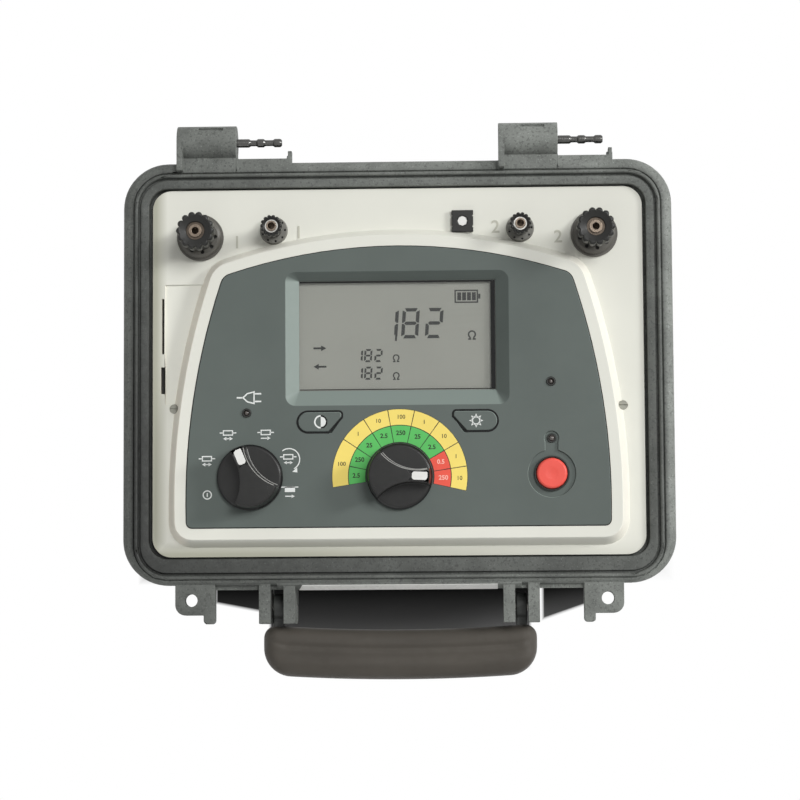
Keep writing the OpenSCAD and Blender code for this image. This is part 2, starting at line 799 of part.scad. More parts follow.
module foot_screws() color(metal) at_case()
    for (sx = [-1, 1], sy = [-1, 1])
        translate([sx * foot_x, sy * foot_y, foot_h / 2]) rotate([180, 0, 0])
            screw(0, foot_screw_head_r, foot_h / 2 + foot_screw_len);

// A split hinge pin with two snap bands, lying along X from its lug
module hinge_pin(x) {
    face = x + lug_len;
    shoulder = hinge_shoulder;
    end = hinge_pin_out;
    last = end - pin_band;
    difference() {
        translate([face, hinge_y, hinge_z]) rotate([0, 90, 0]) rotate_extrude()
            polygon([[0, -pin_sunk], [pin_root_r, -pin_sunk], [pin_root_r, 0],
                [hinge_pin_r, 0], [hinge_pin_r, shoulder],
                [pin_waist_r, shoulder + pin_nose], [pin_waist_r, shoulder + pin_band],
                [hinge_pin_r, shoulder + pin_band + pin_nose],
                [hinge_pin_r, shoulder + 2 * pin_band],
                [pin_waist_r, shoulder + 2 * pin_band + pin_nose],
                [pin_waist_r, last - pin_nose], [hinge_pin_r, last],
                [hinge_pin_r, end - pin_nose], [pin_waist_r, end], [0, end]]);
        translate([face + shoulder + pin_band / 2, hinge_y - 2 * hinge_pin_r, hinge_z - pin_slot_w / 2])
            cube([end, 4 * hinge_pin_r, pin_slot_w]);
    }
}

module left_hinge_pin() color(metal) at_case() hinge_pin(left_lug_x);

module right_hinge_pin() color(metal) at_case() hinge_pin(right_lug_x);

// Handle, swung straight out to the front

module core_plan() {
    bar_y = grip_in_y - grip_w / 2 - grip_bow;
    for (s = [-1, 1]) translate([s * arm_x - arm_t / 2, bar_y])
        square([arm_t, pivot_y - bar_y]);
    translate([-arm_x - arm_t / 2, bar_y - core_bar_w / 2])
        square([2 * arm_x + arm_t, core_bar_w]);
}

module core_solid() {
    translate([0, 0, pivot_z - core_bar_t / 2]) linear_extrude(core_bar_t) core_plan();
    for (s = [-1, 1]) bar_x(s * arm_x - arm_t / 2, pivot_y, pivot_z, arm_eye_r, arm_t);
}

module handle_core() color(black) at_case() difference() {
    core_solid();
    for (s = [-1, 1])
        bar_x(s * arm_x - arm_t, pivot_y, pivot_z, pivot_pin_r + run_fit, 2 * arm_t);
}

// Section of the grip: a rounded bar with long finger grooves above and below
module grip_section() {
    difference() {
        rounded(grip_w, grip_t, grip_edge_r);
        for (s = [-1, 1], t = [-1, 1])
            translate([t * grip_groove_off, s * (grip_t / 2 + grip_groove_r - grip_groove_deep)])
                circle(r = grip_groove_r);
    }
}

// The grip bows out on a wide arc and has its corners rounded in plan
module handle_grip() color([0.27, 0.26, 0.24]) at_case() {
    bow_r = (pow(grip_len / 2, 2) + pow(grip_bow, 2)) / (2 * grip_bow);
    sweep = 2 * asin(grip_len * (half + 1 / 20) / bow_r);
    mid_y = grip_in_y - grip_w / 2 - grip_bow;
    difference() {
        intersection() {
            translate([0, mid_y + bow_r, pivot_z]) rotate(-90 - sweep / 2)
                rotate_extrude(angle = sweep, $fn = 360) translate([bow_r, 0]) grip_section();
            translate([0, mid_y + grip_w / 2, pivot_z - grip_t]) linear_extrude(2 * grip_t)
                rounded(grip_len, 2 * grip_w, grip_corner_r);
        }
        core_solid();
    }
}

module handle_pins() color(metal) at_case()
    for (s = [-1, 1]) bar_x(s * arm_x - bracket_gap / 2 - bracket_t, pivot_y, pivot_z, pivot_pin_r,
        bracket_gap + 2 * bracket_t);

// Panel

panel_w = case_w - 2 * (rim_band + panel_gap);
panel_d = case_d - 2 * (rim_band + panel_gap) + panel_gap;
panel_corner_r = rim_corner_r - rim_band;

// The raised block in layers that spread towards its foot, shrunk by the wall for its hollow
module block_solid(shrink, bottom, top) {
    rise = top - bottom;
    spread_share = [0, 0.06, 0.22, 1];
    height_share = [1, 0.96, 0.86, 0];
    hull() for (i = [0:3])
        translate([0, 0, bottom + (rise - skin) * height_share[i]]) linear_extrude(skin)
            fascia_outline(block_border + (block_flare - shrink) * spread_share[i] - shrink);
}

module left_bay() {
    translate([bay_left_x, bay_low_y, panel_z - bay_deep])
        cube([-bay_left_x, bay_top_y - bay_low_y, bay_deep + cut]);
}

module bay_slots() {
    translate([bay_slot_x - long_slot_w / 2, long_slot_y - long_slot_len / 2, panel_z - panel_t - cut])
        cube([long_slot_w, long_slot_len, panel_t + 2 * cut]);
    translate([bay_slot_x - short_slot_w / 2, short_slot_y - short_slot_len / 2, panel_z - panel_t - cut])
        cube([short_slot_w, short_slot_len, panel_t + 2 * cut]);
}

// Openings in the plate under the fascia, one behind each thing that the fascia shows
module plate_openings() {
    translate([0, 0, plate_under_z - cut]) linear_extrude(plate_t + 2 * cut) {
        translate([0, recess_y]) square([frame_w + 2 * seat_gap, frame_d + 2 * seat_gap], center = true);
        for (x = [function_x, range_x]) translate([x, knob_y]) circle(r = switch_bush_r + seat_gap);
        for (s = [-1, 1]) translate([s * key_x, key_y])
            square([key_len + 2 * (key_gap + key_lip), key_w + 2 * (key_gap + key_lip)], center = true);
        translate([test_x, test_y]) circle(r = test_r + 2 * key_lip + seat_gap);
        for (p = lamp_places) translate(p) circle(r = lamp_ring_r + seat_gap);
    }
}

board_bosses = [[-board_boss_x, board_boss_low_y], [board_boss_x, board_boss_low_y],
    [-board_boss_top_x, board_boss_top_y], [board_boss_top_x, board_boss_top_y]];
post_places = [[-c_post_x, c_post_y], [c_post_x, c_post_y],
    [-p_post_x, p_post_y], [p_post_x, p_post_y]];
post_stem_r = [socket_r + socket_wall, socket_r + socket_wall, socket_r + p_socket_wall,
    socket_r + p_socket_wall];
post_flange_r = [c_flange_r, c_flange_r, p_flange_r, p_flange_r];
lamp_places = [[charge_x, charge_y], [test_x, hazard_y], [test_x, test_lamp_y]];
frame_wall = 1.8;
frame_w = recess_w + 2 * frame_wall;
frame_d = recess_d + 2 * frame_wall;

module panel() color(ivory) at_case() difference() {
    union() {
        difference() {
            union() {
                difference() {
                    rounded_plate(panel_w, panel_d, panel_corner_r, panel_z - panel_t, panel_t);
                    left_bay();
                }
                block_solid(0, panel_z - panel_t, block_z);
            }
            block_solid(panel_t, panel_z - panel_t - cut, plate_under_z);
        }
        for (p = board_bosses) translate([p[0], p[1], board_z])
            cylinder(r = boss_r, h = plate_under_z - board_z + cut);
    }
    translate([0, 0, plate_z]) linear_extrude(fascia_t + cut) fascia_outline(fascia_gap);
    plate_openings();
    bay_slots();
    for (i = [0:3]) translate([post_places[i][0], post_places[i][1], 0]) {
        translate([0, 0, panel_z - panel_t - cut])
            cylinder(r = post_stem_r[i] + still_fit, h = panel_t + 2 * cut);
        // A flat seat for the terminal's flange where the block's foot spreads
        translate([0, 0, panel_z]) cylinder(r = post_flange_r[i] + seat_gap, h = block_h);
    }
    translate([remote_x, remote_y, panel_z + block_h / 2])
        cube([remote_w + 2 * seat_gap, remote_w + 2 * seat_gap, block_h], center = true);
    translate([remote_x, remote_y, panel_z - panel_t - cut])
        cylinder(r = remote_hole_r + remote_wall + still_fit, h = panel_t + 2 * cut);
    for (s = [-1, 1]) translate([s * panel_screw_x, panel_screw_y, panel_z - panel_t - cut]) {
        cylinder(r = screw_r + still_fit, h = panel_t + 2 * cut);
        translate([0, 0, cut + panel_t / 2])
            cylinder(r = panel_screw_head_r + still_fit, h = panel_t / 2 + block_h);
    }
    for (p = board_bosses) translate([p[0], p[1], board_z - cut])
        cylinder(r = screw_r + still_fit, h = panel_screw_len + cut);
}

module panel_gasket() color(black) at_case() difference() {
    inner = 2 * (ledge_w - panel_gap - gasket_inset);
    rounded_plate(panel_w - 2 * gasket_inset, panel_d - 2 * gasket_inset, panel_corner_r,
        ledge_z, gasket_t);
    rounded_plate(panel_w - inner, panel_d - inner, panel_corner_r / 2,
        ledge_z - cut, gasket_t + 2 * cut);
}

module panel_screws() color(metal) at_case()
    for (s = [-1, 1]) translate([s * panel_screw_x, panel_screw_y, 0])
        screw(panel_z - panel_t / 2, panel_screw_head_r,
            panel_t / 2 + gasket_t + panel_screw_len - cut);

// Fascia

key_y = recess_y - frame_d / 2 - key_clear - key_lip / 2 - key_gap - key_w / 2;

module key_outline(grow) {
    r = key_w / 2 + grow;
    left = -key_len / 2;
    right = key_len / 2;
    low_r = key_w / 8 + grow;
    // The round end is on the left, the slanted end on the right
    translate([left + key_w / 2, 0]) circle(r = r);
    polygon([[left + key_w / 2, -r], [right - key_slant, -r],
        [right - key_slant + grow * 2, -r], [right + grow, key_w / 4], [right + grow, r - low_r],
        [right + grow - low_r, r], [left + key_w / 2, r]]);
    translate([right + grow - low_r, r - low_r]) circle(r = low_r);
}

module both_keys(grow) {
    for (side = [0, 1]) mirror([side, 0]) translate([-key_x, key_y]) key_outline(grow);
}

module keyhole_dish() {
    translate([test_x, test_y]) circle(r = dish_r);
    translate([test_x, test_lamp_y]) circle(r = dish_end_r);
    translate([test_x - dish_neck_w / 2, test_y]) square([dish_neck_w, test_lamp_y - test_y]);
}

module display_funnel() {
    hull() {
        translate([0, recess_y, fascia_z]) rounded_plate(recess_w, recess_d, recess_corner_r, 0, skin);
        translate([0, window_y, window_z - skin / 2]) linear_extrude(skin)
            square([window_w, window_d], center = true);
    }
}

module fascia() color(slate) at_case() difference() {
    union() {
        translate([0, 0, plate_z]) linear_extrude(fascia_t) fascia_outline(0);
        translate([-frame_w / 2, recess_y - frame_d / 2, window_z - window_t])
            cube([frame_w, frame_d, plate_z - window_z + window_t + cut]);
    }
    display_funnel();
    translate([0, window_y, window_z - window_t / 2])
        cube([window_w + 2 * frame_wall, window_d + 2 * frame_wall, window_t], center = true);
    translate([0, 0, plate_z - cut]) linear_extrude(fascia_t + 2 * cut) {
        both_keys(key_gap);
        for (x = [function_x, range_x]) translate([x, knob_y]) circle(r = shaft_r + seat_gap);
        translate([test_x, test_y]) circle(r = test_r + seat_gap);
        for (p = lamp_places) translate(p) circle(r = lamp_ring_r + still_fit);
    }
    translate([0, 0, fascia_z - dish_deep]) linear_extrude(dish_deep + cut) keyhole_dish();
}

// Display

module display_window() color([0.8, 0.85, 0.85, 0.4]) at_case()
    translate([0, window_y, window_z - window_t / 2])
        cube([window_w + 2 * (frame_wall - still_fit), window_d + 2 * (frame_wall - still_fit), window_t],
            center = true);

cell_t = 2.4;
light_t = 5;
cell_z = window_z - window_t - cell_t;
light_z = cell_z - light_t;
display_board_z = light_z - board_t;

module display_cell() color([0.60, 0.61, 0.57]) at_case()
    translate([0, window_y, cell_z + cell_t / 2])
        cube([window_w + frame_wall, window_d + frame_wall, cell_t], center = true);

// A light box: a tray with a diffuser step round its edge
module display_backlight() color([0.9, 0.9, 0.88]) at_case() difference() {
    translate([0, window_y, light_z + light_t / 2])
        cube([window_w + frame_wall, window_d + frame_wall, light_t], center = true);
    translate([0, window_y, cell_z])
        cube([window_w - frame_wall, window_d - frame_wall, cell_t], center = true);
}

pillar_places = [for (sx = [-1, 1], sy = [-1, 1])
    [sx * (frame_w / 2 - pillar_r), recess_y + sy * (frame_d / 2 - pillar_r)]];

module display_board() color(green_board) at_case() difference() {
    translate([-frame_w / 2, recess_y - frame_d / 2, display_board_z]) cube([frame_w, frame_d, board_t]);
    for (p = pillar_places) translate([p[0], p[1], display_board_z - cut])
        cylinder(r = pillar_r / 2 + still_fit, h = board_t + 2 * cut);
}

// Shouldered pillars that carry the display's board over the main board
module display_pillars() color(metal) at_case()
    for (p = pillar_places) translate([p[0], p[1], board_z]) {
        cylinder(r = pillar_r, h = display_board_z - board_z);
        cylinder(r = pillar_r / 2, h = display_board_z - board_z + board_t);
    }

// Knobs and rotary switches

module knob_grip_outline() {
    difference() {
        circle(r = knob_r - knob_tip_in);
        for (s = [-1, 1])
            translate([knob_dip, s * (knob_hollow_r + knob_waist)]) circle(r = knob_hollow_r);
    }
}

module knob_limit() {
    rotate_extrude() polygon([[0, 0], [knob_r, 0], [knob_r, knob_skirt_h],
        [knob_r - knob_edge, knob_h - knob_top_edge],
        [knob_r - knob_edge - knob_top_edge, knob_h], [0, knob_h]]);
}

module pointer_plan(grow) {
    tip = knob_r - pointer_in + grow;
    round_x = knob_r - pointer_in - pointer_len + pointer_round;
    hull() {
        translate([round_x, -pointer_w / 2 - grow]) square([tip - round_x, pointer_w + 2 * grow]);
        for (s = [-1, 1]) translate([round_x, s * (pointer_w / 2 - pointer_round)])
            circle(r = pointer_round + grow);
    }
}

module knob(x, angle) {
    base = fascia_z + seat_gap;
    translate([x, knob_y, base]) rotate(angle) difference() {
        union() {
            rotate_extrude() polygon([[0, 0], [knob_r, 0], [knob_r, knob_skirt_h - knob_edge],
                [knob_r - knob_edge, knob_skirt_h], [0, knob_skirt_h]]);
            intersection() {
                linear_extrude(knob_h) knob_grip_outline();
                knob_limit();
            }
        }
        translate([0, 0, -cut]) cylinder(r = shaft_r + still_fit, h = shaft_into_knob + cut);
        translate([0, 0, knob_h - pointer_t]) linear_extrude(pointer_t + cut) pointer_plan(still_fit);
    }
}

module pointer(x, angle) {
    translate([x, knob_y, fascia_z + seat_gap + knob_h - pointer_t]) rotate(angle)
        linear_extrude(pointer_t) pointer_plan(0);
}

module shaft(x) {
    low = board_z + shaft_foot;
    top = fascia_z + seat_gap + shaft_into_knob;
    translate([x, knob_y, low]) cylinder(r = shaft_r, h = top - low);
    // The detent rotor sits in the switch's chamber
    translate([x, knob_y, low]) cylinder(r = 2 * shaft_r, h = shaft_r);
}

module rotary_switch(x) {
    chamber_z = board_z + shaft_foot - seat_gap;
    bush_h = min(switch_bush_up, plate_z - board_z - switch_h - seat_gap);
    translate([x, knob_y, 0]) difference() {
        union() {
            translate([-switch_w / 2, -switch_w / 2, board_z]) cube([switch_w, switch_w, switch_h]);
            translate([0, 0, board_z + switch_h]) cylinder(r = switch_bush_r, h = bush_h);
        }
        translate([0, 0, chamber_z]) cylinder(r = 2 * shaft_r + seat_gap, h = shaft_r + 2 * seat_gap);
        translate([0, 0, chamber_z]) cylinder(r = shaft_r + run_fit, h = fascia_z - chamber_z);
    }
}

module function_knob() color(black) at_case() knob(function_x, function_angle);

module function_pointer() color("white") at_case() pointer(function_x, function_angle);

module function_shaft() color(metal) at_case() shaft(function_x);

module function_switch() color(black) at_case() rotary_switch(function_x);

module range_knob() color(black) at_case() knob(range_x, range_angle);

module range_pointer() color("white") at_case() pointer(range_x, range_angle);

module range_shaft() color(metal) at_case() shaft(range_x);

module range_switch() color(black) at_case() rotary_switch(range_x);

// Buttons

// A push switch on the main board, with a well that guides the button's plunger
module tact_switch(x, y) {
    translate([x, y, board_z]) difference() {
        translate([-tact_w / 2, -tact_w / 2, 0]) cube([tact_w, tact_w, tact_h]);
        translate([0, 0, tact_h - tact_well]) cylinder(r = plunger_r + run_fit, h = tact_well + cut);
    }
}

// The plunger reaches into the well and leaves room for the travel
module plunger(x, y, top, travel) {
    foot = board_z + tact_h - tact_well + travel + seat_gap;
    translate([x, y, foot]) cylinder(r = plunger_r, h = top - foot);
}

module display_key() {
    translate([-key_x, key_y, plate_z]) linear_extrude(fascia_t + key_proud) key_outline(0);
    translate([-key_x, key_y, plate_z - key_lip_t])
        linear_extrude(key_lip_t) key_outline(key_gap + key_lip / 2);
    plunger(-key_x, key_y, plate_z, key_travel);
}

module contrast_button() color(slate) at_case() display_key();

module backlight_button() color(slate) at_case() mirror([1, 0, 0]) display_key();

module contrast_switch() color(black) at_case() tact_switch(-key_x, key_y);

module backlight_switch() color(black) at_case() tact_switch(key_x, key_y);

// A round button with a rounded edge and a slightly hollow face
module test_button() color([0.86, 0.30, 0.26]) at_case() {
    top = fascia_z + test_proud;
    low = plate_z - key_lip_t;
    translate([test_x, test_y, 0]) {
        difference() {
            rotate_extrude() polygon([[0, plate_z], [test_r, plate_z], [test_r, top - knob_edge],
                [test_r - knob_edge / 3, top - knob_edge / 3], [test_r - knob_edge, top], [0, top]]);
            translate([0, 0, top + 5 * test_r - skin]) sphere(r = 5 * test_r, $fn = 96);
        }
        translate([0, 0, low]) cylinder(r = test_r + key_lip + seat_gap, h = key_lip_t);
    }
    plunger(test_x, test_y, plate_z, test_travel);
}

module test_bezel() color(black) at_case()
    translate([test_x, test_y, fascia_z - dish_deep]) difference() {
        cylinder(r = test_r + seat_gap + test_ring_t, h = test_ring_h);
        translate([0, 0, -cut]) cylinder(r = test_r + seat_gap, h = test_ring_h + 2 * cut);
    }

module test_switch() color(black) at_case() tact_switch(test_x, test_y);

// Lamps

module lamp_rings() color(black) at_case() for (p = lamp_places) {
    floor_z = p == lamp_places[2] ? fascia_z - dish_deep : fascia_z;
    translate([p[0], p[1], plate_z]) difference() {
        cylinder(r = lamp_ring_r, h = floor_z - plate_z + lamp_ring_up);
        translate([0, 0, -cut]) cylinder(r = lamp_r + still_fit, h = fascia_t + lamp_ring_up + 2 * cut);
    }
}

module lamp_lenses() color([0.5, 0.2, 0.2]) at_case() for (p = lamp_places)
    translate([p[0], p[1], fascia_z - dish_deep - lamp_len]) {
        cylinder(r = lamp_r, h = lamp_len);
        translate([0, 0, lamp_len]) intersection() {
            sphere(r = lamp_r);
            cylinder(r = lamp_r, h = lamp_r);
        }
        cylinder(r = lamp_r + key_lip, h = lamp_len + dish_deep - fascia_t);
    }

// Terminals

// All sizes of a terminal: flange, cap, height, wall of the stem, ring of dimples
c_post = [c_flange_r, c_cap_r, c_post_h, socket_wall, c_dimple_ring_r];
p_post = [p_flange_r, p_cap_r, p_post_h, p_socket_wall, p_dimple_ring_r];
function stem_r(post) = socket_r + post[3];
function insert_wall(post) = post[1] * insert_wall_share;
function insert_r(post) = stem_r(post) + insert_wall(post);
function flange_t(post) = post[2] * post_flange_share;
function collar_h(post) = post[2] / 7;
function dimple_r(post) = post[1] / 10;
function cap_bottom(post) = collar_h(post) + seat_gap;
function socket_deep(post) = post[2] * 0.6;

// The fixed black base: a thin flange ring, a shadow groove and a collar with a ring of dimples
module post_base(post, x, y) {
    top_r = post[4] + 1.6 * dimple_r(post);
    collar_r = (post[0] + top_r) / 2;
    translate([x, y, panel_z]) difference() {
        union() {
            cylinder(r = post[0], h = flange_t(post));
            rotate_extrude() polygon([[0, 0], [collar_r, 0], [collar_r, flange_t(post) * 2],
                [top_r, collar_h(post)], [0, collar_h(post)]]);
        }
        translate([0, 0, -cut]) cylinder(r = stem_r(post) + still_fit, h = post[2]);
        for (a = [0:40:359]) rotate(a)
            translate([post[4], 0, collar_h(post) - flange_t(post)])
                cylinder(r = dimple_r(post), h = post[2]);
    }
}

// The metal stem with its socket, from under the panel to the top
module post_stem(post, x, y) {
    top = post[2] - cap_dish_deep / 2;
    translate([x, y, panel_z]) difference() {
        translate([0, 0, -stem_below]) cylinder(r = stem_r(post), h = stem_below + top);
        translate([0, 0, top - socket_deep(post)]) cylinder(r = socket_r, h = socket_deep(post) + cut);
    }
}

// The threaded metal insert that lifts inside the cap
module post_insert(post, x, y) {
    low = cap_bottom(post);
    translate([x, y, panel_z]) difference() {
        union() {
            translate([0, 0, low]) cylinder(r = insert_r(post), h = post[2] - cap_dish_deep - low);
            translate([0, 0, low]) cylinder(r = insert_r(post) + insert_wall(post) / 2, h = insert_wall(post));
        }
        translate([0, 0, -cut]) cylinder(r = stem_r(post) + run_fit, h = post[2] + cut);
    }
}

// The cap that turns round the insert: a scalloped head on a narrower neck
module post_cap(post, x, y) {
    low = cap_bottom(post);
    hole_r = insert_r(post) + run_fit;
    lobe_r = post[1] * lobe_share;
    rise = post[2] - low;
    edge = post[1] / 8;
    valley_r = post[1] - lobe_r * 1.1;
    head_z = rise - post[2] * head_share;
    translate([x, y, panel_z + low]) difference() {
        union() {
            cylinder(r = post[1] * neck_share, h = head_z + edge);
            intersection() {
                translate([0, 0, head_z]) linear_extrude(rise - head_z) {
                    circle(r = valley_r);
                    for (i = [0:lobe_count - 1]) rotate(i * 360 / lobe_count)
                        translate([post[1] - lobe_r, 0]) circle(r = lobe_r, $fn = 24);
                }
                rotate_extrude() polygon([[0, head_z], [post[1] - edge, head_z], [post[1], head_z + edge],
                    [post[1], rise - edge], [post[1] - edge / 3, rise - edge / 3],
                    [post[1] - edge, rise], [0, rise]]);
            }
        }
        translate([0, 0, -cut]) cylinder(r = hole_r, h = rise + 2 * cut);
        translate([0, 0, -cut])
            cylinder(r = hole_r + insert_wall(post) / 2, h = insert_wall(post) + cut + run_fit);
        // Dished face
        translate([0, 0, rise - cap_dish_deep / 2])
            cylinder(r1 = hole_r, r2 = valley_r - edge / 2, h = cap_dish_deep / 2 + skin / 100);
    }
}

module c1_base() color(black) at_case() post_base(c_post, -c_post_x, c_post_y);

module c1_stem() color(metal) at_case() post_stem(c_post, -c_post_x, c_post_y);

module c1_insert() color(brass) at_case() post_insert(c_post, -c_post_x, c_post_y);

module c1_cap() color(black) at_case() post_cap(c_post, -c_post_x, c_post_y);

module c2_base() color(black) at_case() post_base(c_post, c_post_x, c_post_y);

module c2_stem() color(metal) at_case() post_stem(c_post, c_post_x, c_post_y);

module c2_insert() color(brass) at_case() post_insert(c_post, c_post_x, c_post_y);

module c2_cap() color(black) at_case() post_cap(c_post, c_post_x, c_post_y);

module p1_base() color(black) at_case() post_base(p_post, -p_post_x, p_post_y);

module p1_stem() color(metal) at_case() post_stem(p_post, -p_post_x, p_post_y);

module p1_insert() color(brass) at_case() post_insert(p_post, -p_post_x, p_post_y);

module p1_cap() color(black) at_case() post_cap(p_post, -p_post_x, p_post_y);

module p2_base() color(black) at_case() post_base(p_post, p_post_x, p_post_y);

module p2_stem() color(metal) at_case() post_stem(p_post, p_post_x, p_post_y);

module p2_insert() color(brass) at_case() post_insert(p_post, p_post_x, p_post_y);

module p2_cap() color(black) at_case() post_cap(p_post, p_post_x, p_post_y);

// Hexagon nuts that hold the four stems from under the panel
module terminal_nuts() color(metal) at_case() for (i = [0:3])
    translate([post_places[i][0], post_places[i][1], panel_z - panel_t - nut_t]) difference() {
        cylinder(r = post_stem_r[i] + nut_wall, h = nut_t, $fn = 6);
        translate([0, 0, -cut]) cylinder(r = post_stem_r[i] + still_fit, h = nut_t + 2 * cut);
    }

// Square remote socket with a ring of grooves and a core in its hole
module remote_socket() color(black) at_case() translate([remote_x, remote_y, panel_z]) {
    groove = remote_w / 12;
    difference() {
        union() {
            translate([-remote_w / 2, -remote_w / 2, 0]) cube([remote_w, remote_w, remote_h]);
            translate([0, 0, -panel_t - remote_deep])
                cylinder(r = remote_hole_r + remote_wall, h = panel_t + remote_deep);
        }
        translate([0, 0, remote_h - remote_deep]) cylinder(r = remote_hole_r, h = remote_deep + cut);
        for (s = [-1, 1], t = [0:1])
            translate([s * remote_w / 2 - groove / 2, (t - half) * remote_w / 2 - groove / 2, -cut])
                cube([groove, groove, remote_h + 2 * cut]);
    }
    translate([0, 0, remote_h - remote_deep - cut])
        cylinder(r = remote_core_r, h = remote_deep - groove + cut);
}

// Inside the case

module main_board() color(green_board) at_case() difference() {
    translate([-board_w / 2, board_mid_y - board_d / 2, board_under_z]) cube([board_w, board_d, board_t]);
    for (p = board_bosses) translate([p[0], p[1], board_under_z - cut])
        cylinder(r = screw_r + still_fit, h = board_t + 2 * cut);
}

module board_screws() color(metal) at_case() for (p = board_bosses)
    translate([p[0], p[1], board_under_z]) rotate([180, 0, 0])
        screw(0, foot_screw_head_r, board_t + panel_screw_len - cut);

// Three rows of two cells lie in cradles on the floor
tray_len = 2 * cell_len + 2 * tray_wall + cell_wall;
row_pitch = 2 * (cell_r + cell_wall);
tray_d = 3 * row_pitch + 2 * tray_wall;
cell_z0 = tub_floor_z + tray_wall + cell_r;
tray_end = tray_x + tray_len / 2;
sink_w = half_w - sink_side - tray_end - sink_in;
sink_x = tray_end + sink_in + sink_w / 2;
power_w = half_w - power_side - tray_end - power_in;
power_x = tray_end + power_in + power_w / 2;

module battery_tray() color(black) at_case() difference() {
    translate([tray_x - tray_len / 2, -tray_d / 2, tub_floor_z]) cube([tray_len, tray_d, tray_h]);
    for (row = [-1:1])
        bar_x(tray_x - tray_len / 2 + tray_wall, row * row_pitch, cell_z0, cell_r + still_fit,
            tray_len - 2 * tray_wall);
}

module battery_cells() color([0.2, 0.42, 0.55]) at_case() for (row = [-1:1], s = [-1, 1]) {
    first = tray_x + (s - 1) / 2 * cell_len + s * cell_wall / 4;
    bar_x(first, row * row_pitch, cell_z0, cell_r, cell_len - cell_wall);
    bar_x(first, row * row_pitch, cell_z0, cell_r / 3, cell_len);
}

// The strap lies over the three rows and is held down outside the tray
module battery_strap() color([0.3, 0.3, 0.32]) at_case() {
    top = cell_z0 + cell_r + still_fit;
    reach = tray_d / 2;
    slice_x(tray_x - cell_len / 2 - strap_w / 2, strap_w) {
        translate([-reach - strap_t, top]) square([2 * (reach + strap_t), strap_t]);
        for (s = [-1, 1]) {
            translate([s * (reach + strap_t / 2) - strap_t / 2, tub_floor_z])
                square([strap_t, top - tub_floor_z]);
            translate([s * (reach + 3 * strap_t) - 3 * strap_t, tub_floor_z])
                square([6 * strap_t, strap_t]);
        }
    }
}

// Finned heat sink of the current source
module heat_sink() color([0.55, 0.56, 0.58]) at_case() {
    pitch = (sink_w - fin_t) / (fin_count - 1);
    translate([sink_x - sink_w / 2, sink_y - sink_d / 2, tub_floor_z]) {
        cube([sink_w, sink_d, sink_base]);
        for (i = [0:fin_count - 1]) translate([i * pitch, 0, 0]) cube([fin_t, sink_d, sink_h]);
    }
}

power_z = tub_floor_z + power_up;

// The charger's board on its four feet
module power_board() color(green_board) at_case() {
    translate([power_x - power_w / 2, power_y - power_d / 2, power_z]) cube([power_w, power_d, board_t]);
    for (sx = [-1, 1], sy = [-1, 1])
        translate([power_x + sx * (power_w / 2 - 2 * pillar_r), power_y + sy * (power_d / 2 - 2 * pillar_r),
            tub_floor_z]) cylinder(r = pillar_r, h = power_up + board_t / 2);
}

// A laminated core round a wound bobbin
module transformer() color([0.35, 0.3, 0.24]) at_case() translate([power_x, power_y, power_z + board_t]) {
    leg = core_w / 6;
    translate([-core_w / 2, -core_t / 2, 0]) difference() {
        cube([core_w, core_t, core_d]);
        for (x = [leg, 4 * leg]) translate([x, -cut, leg]) cube([leg, core_t + 2 * cut, core_d - 2 * leg]);
    }
    rounded_plate(4 * leg - 2 * seat_gap, core_t + 2 * leg, leg / 2,
        leg + seat_gap, core_d - 2 * (leg + seat_gap));
}

case_tub();
rubber_feet();
foot_screws();
left_hinge_pin();
right_hinge_pin();
handle_core();
handle_grip();
handle_pins();
panel();
panel_gasket();
panel_screws();
fascia();
display_window();
display_cell();
display_backlight();
display_board();
display_pillars();
function_knob();
function_pointer();
function_shaft();
function_switch();
range_knob();
range_pointer();
range_shaft();
range_switch();
contrast_button();
contrast_switch();
backlight_button();
backlight_switch();
test_button();
test_bezel();
test_switch();
lamp_rings();
lamp_lenses();
c1_base();
c1_stem();
c1_insert();
c1_cap();
c2_base();
c2_stem();
c2_insert();
c2_cap();
p1_base();
p1_stem();
p1_insert();
p1_cap();
p2_base();
p2_stem();
p2_insert();
p2_cap();
terminal_nuts();
remote_socket();
main_board();
board_screws();
battery_tray();
battery_cells();
battery_strap();
heat_sink();
power_board();
transformer();
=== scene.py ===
"""Looks of a portable micro ohmmeter that stands in the base of its carrying case."""
import math

import bmesh
import bpy
import numpy as np
from mathutils import Matrix, Vector


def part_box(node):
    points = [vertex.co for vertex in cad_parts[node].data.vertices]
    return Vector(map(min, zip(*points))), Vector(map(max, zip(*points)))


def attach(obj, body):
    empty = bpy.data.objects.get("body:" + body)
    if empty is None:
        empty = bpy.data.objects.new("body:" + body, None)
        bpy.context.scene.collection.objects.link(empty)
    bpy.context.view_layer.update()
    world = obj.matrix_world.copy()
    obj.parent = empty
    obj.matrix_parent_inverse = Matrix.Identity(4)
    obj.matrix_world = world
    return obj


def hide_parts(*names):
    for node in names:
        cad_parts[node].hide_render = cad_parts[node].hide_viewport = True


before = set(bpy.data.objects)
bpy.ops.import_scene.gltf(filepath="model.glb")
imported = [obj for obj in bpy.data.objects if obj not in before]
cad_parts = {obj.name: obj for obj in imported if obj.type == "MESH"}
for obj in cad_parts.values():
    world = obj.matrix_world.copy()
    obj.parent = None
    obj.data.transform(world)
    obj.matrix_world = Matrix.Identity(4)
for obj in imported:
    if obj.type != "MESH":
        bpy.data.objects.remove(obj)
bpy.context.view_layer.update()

# Lengths are in millimetres, save those of the floor and the lights, which are in metres
MM = 0.001
KNOB_Y = -60.8                 # both knobs, counted from the rim's middle


def middle(node):
    """Middle of a CAD node's box."""
    low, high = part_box(node)
    return [(a + b) / 2 / MM for a, b in zip(low, high)]


def centre(node):
    """Middle of a CAD node's box from above, counted from the rim's middle."""
    x, y, _ = middle(node)
    return x, y - CASE_SHIFT


def top(node):
    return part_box(node)[1].z / MM


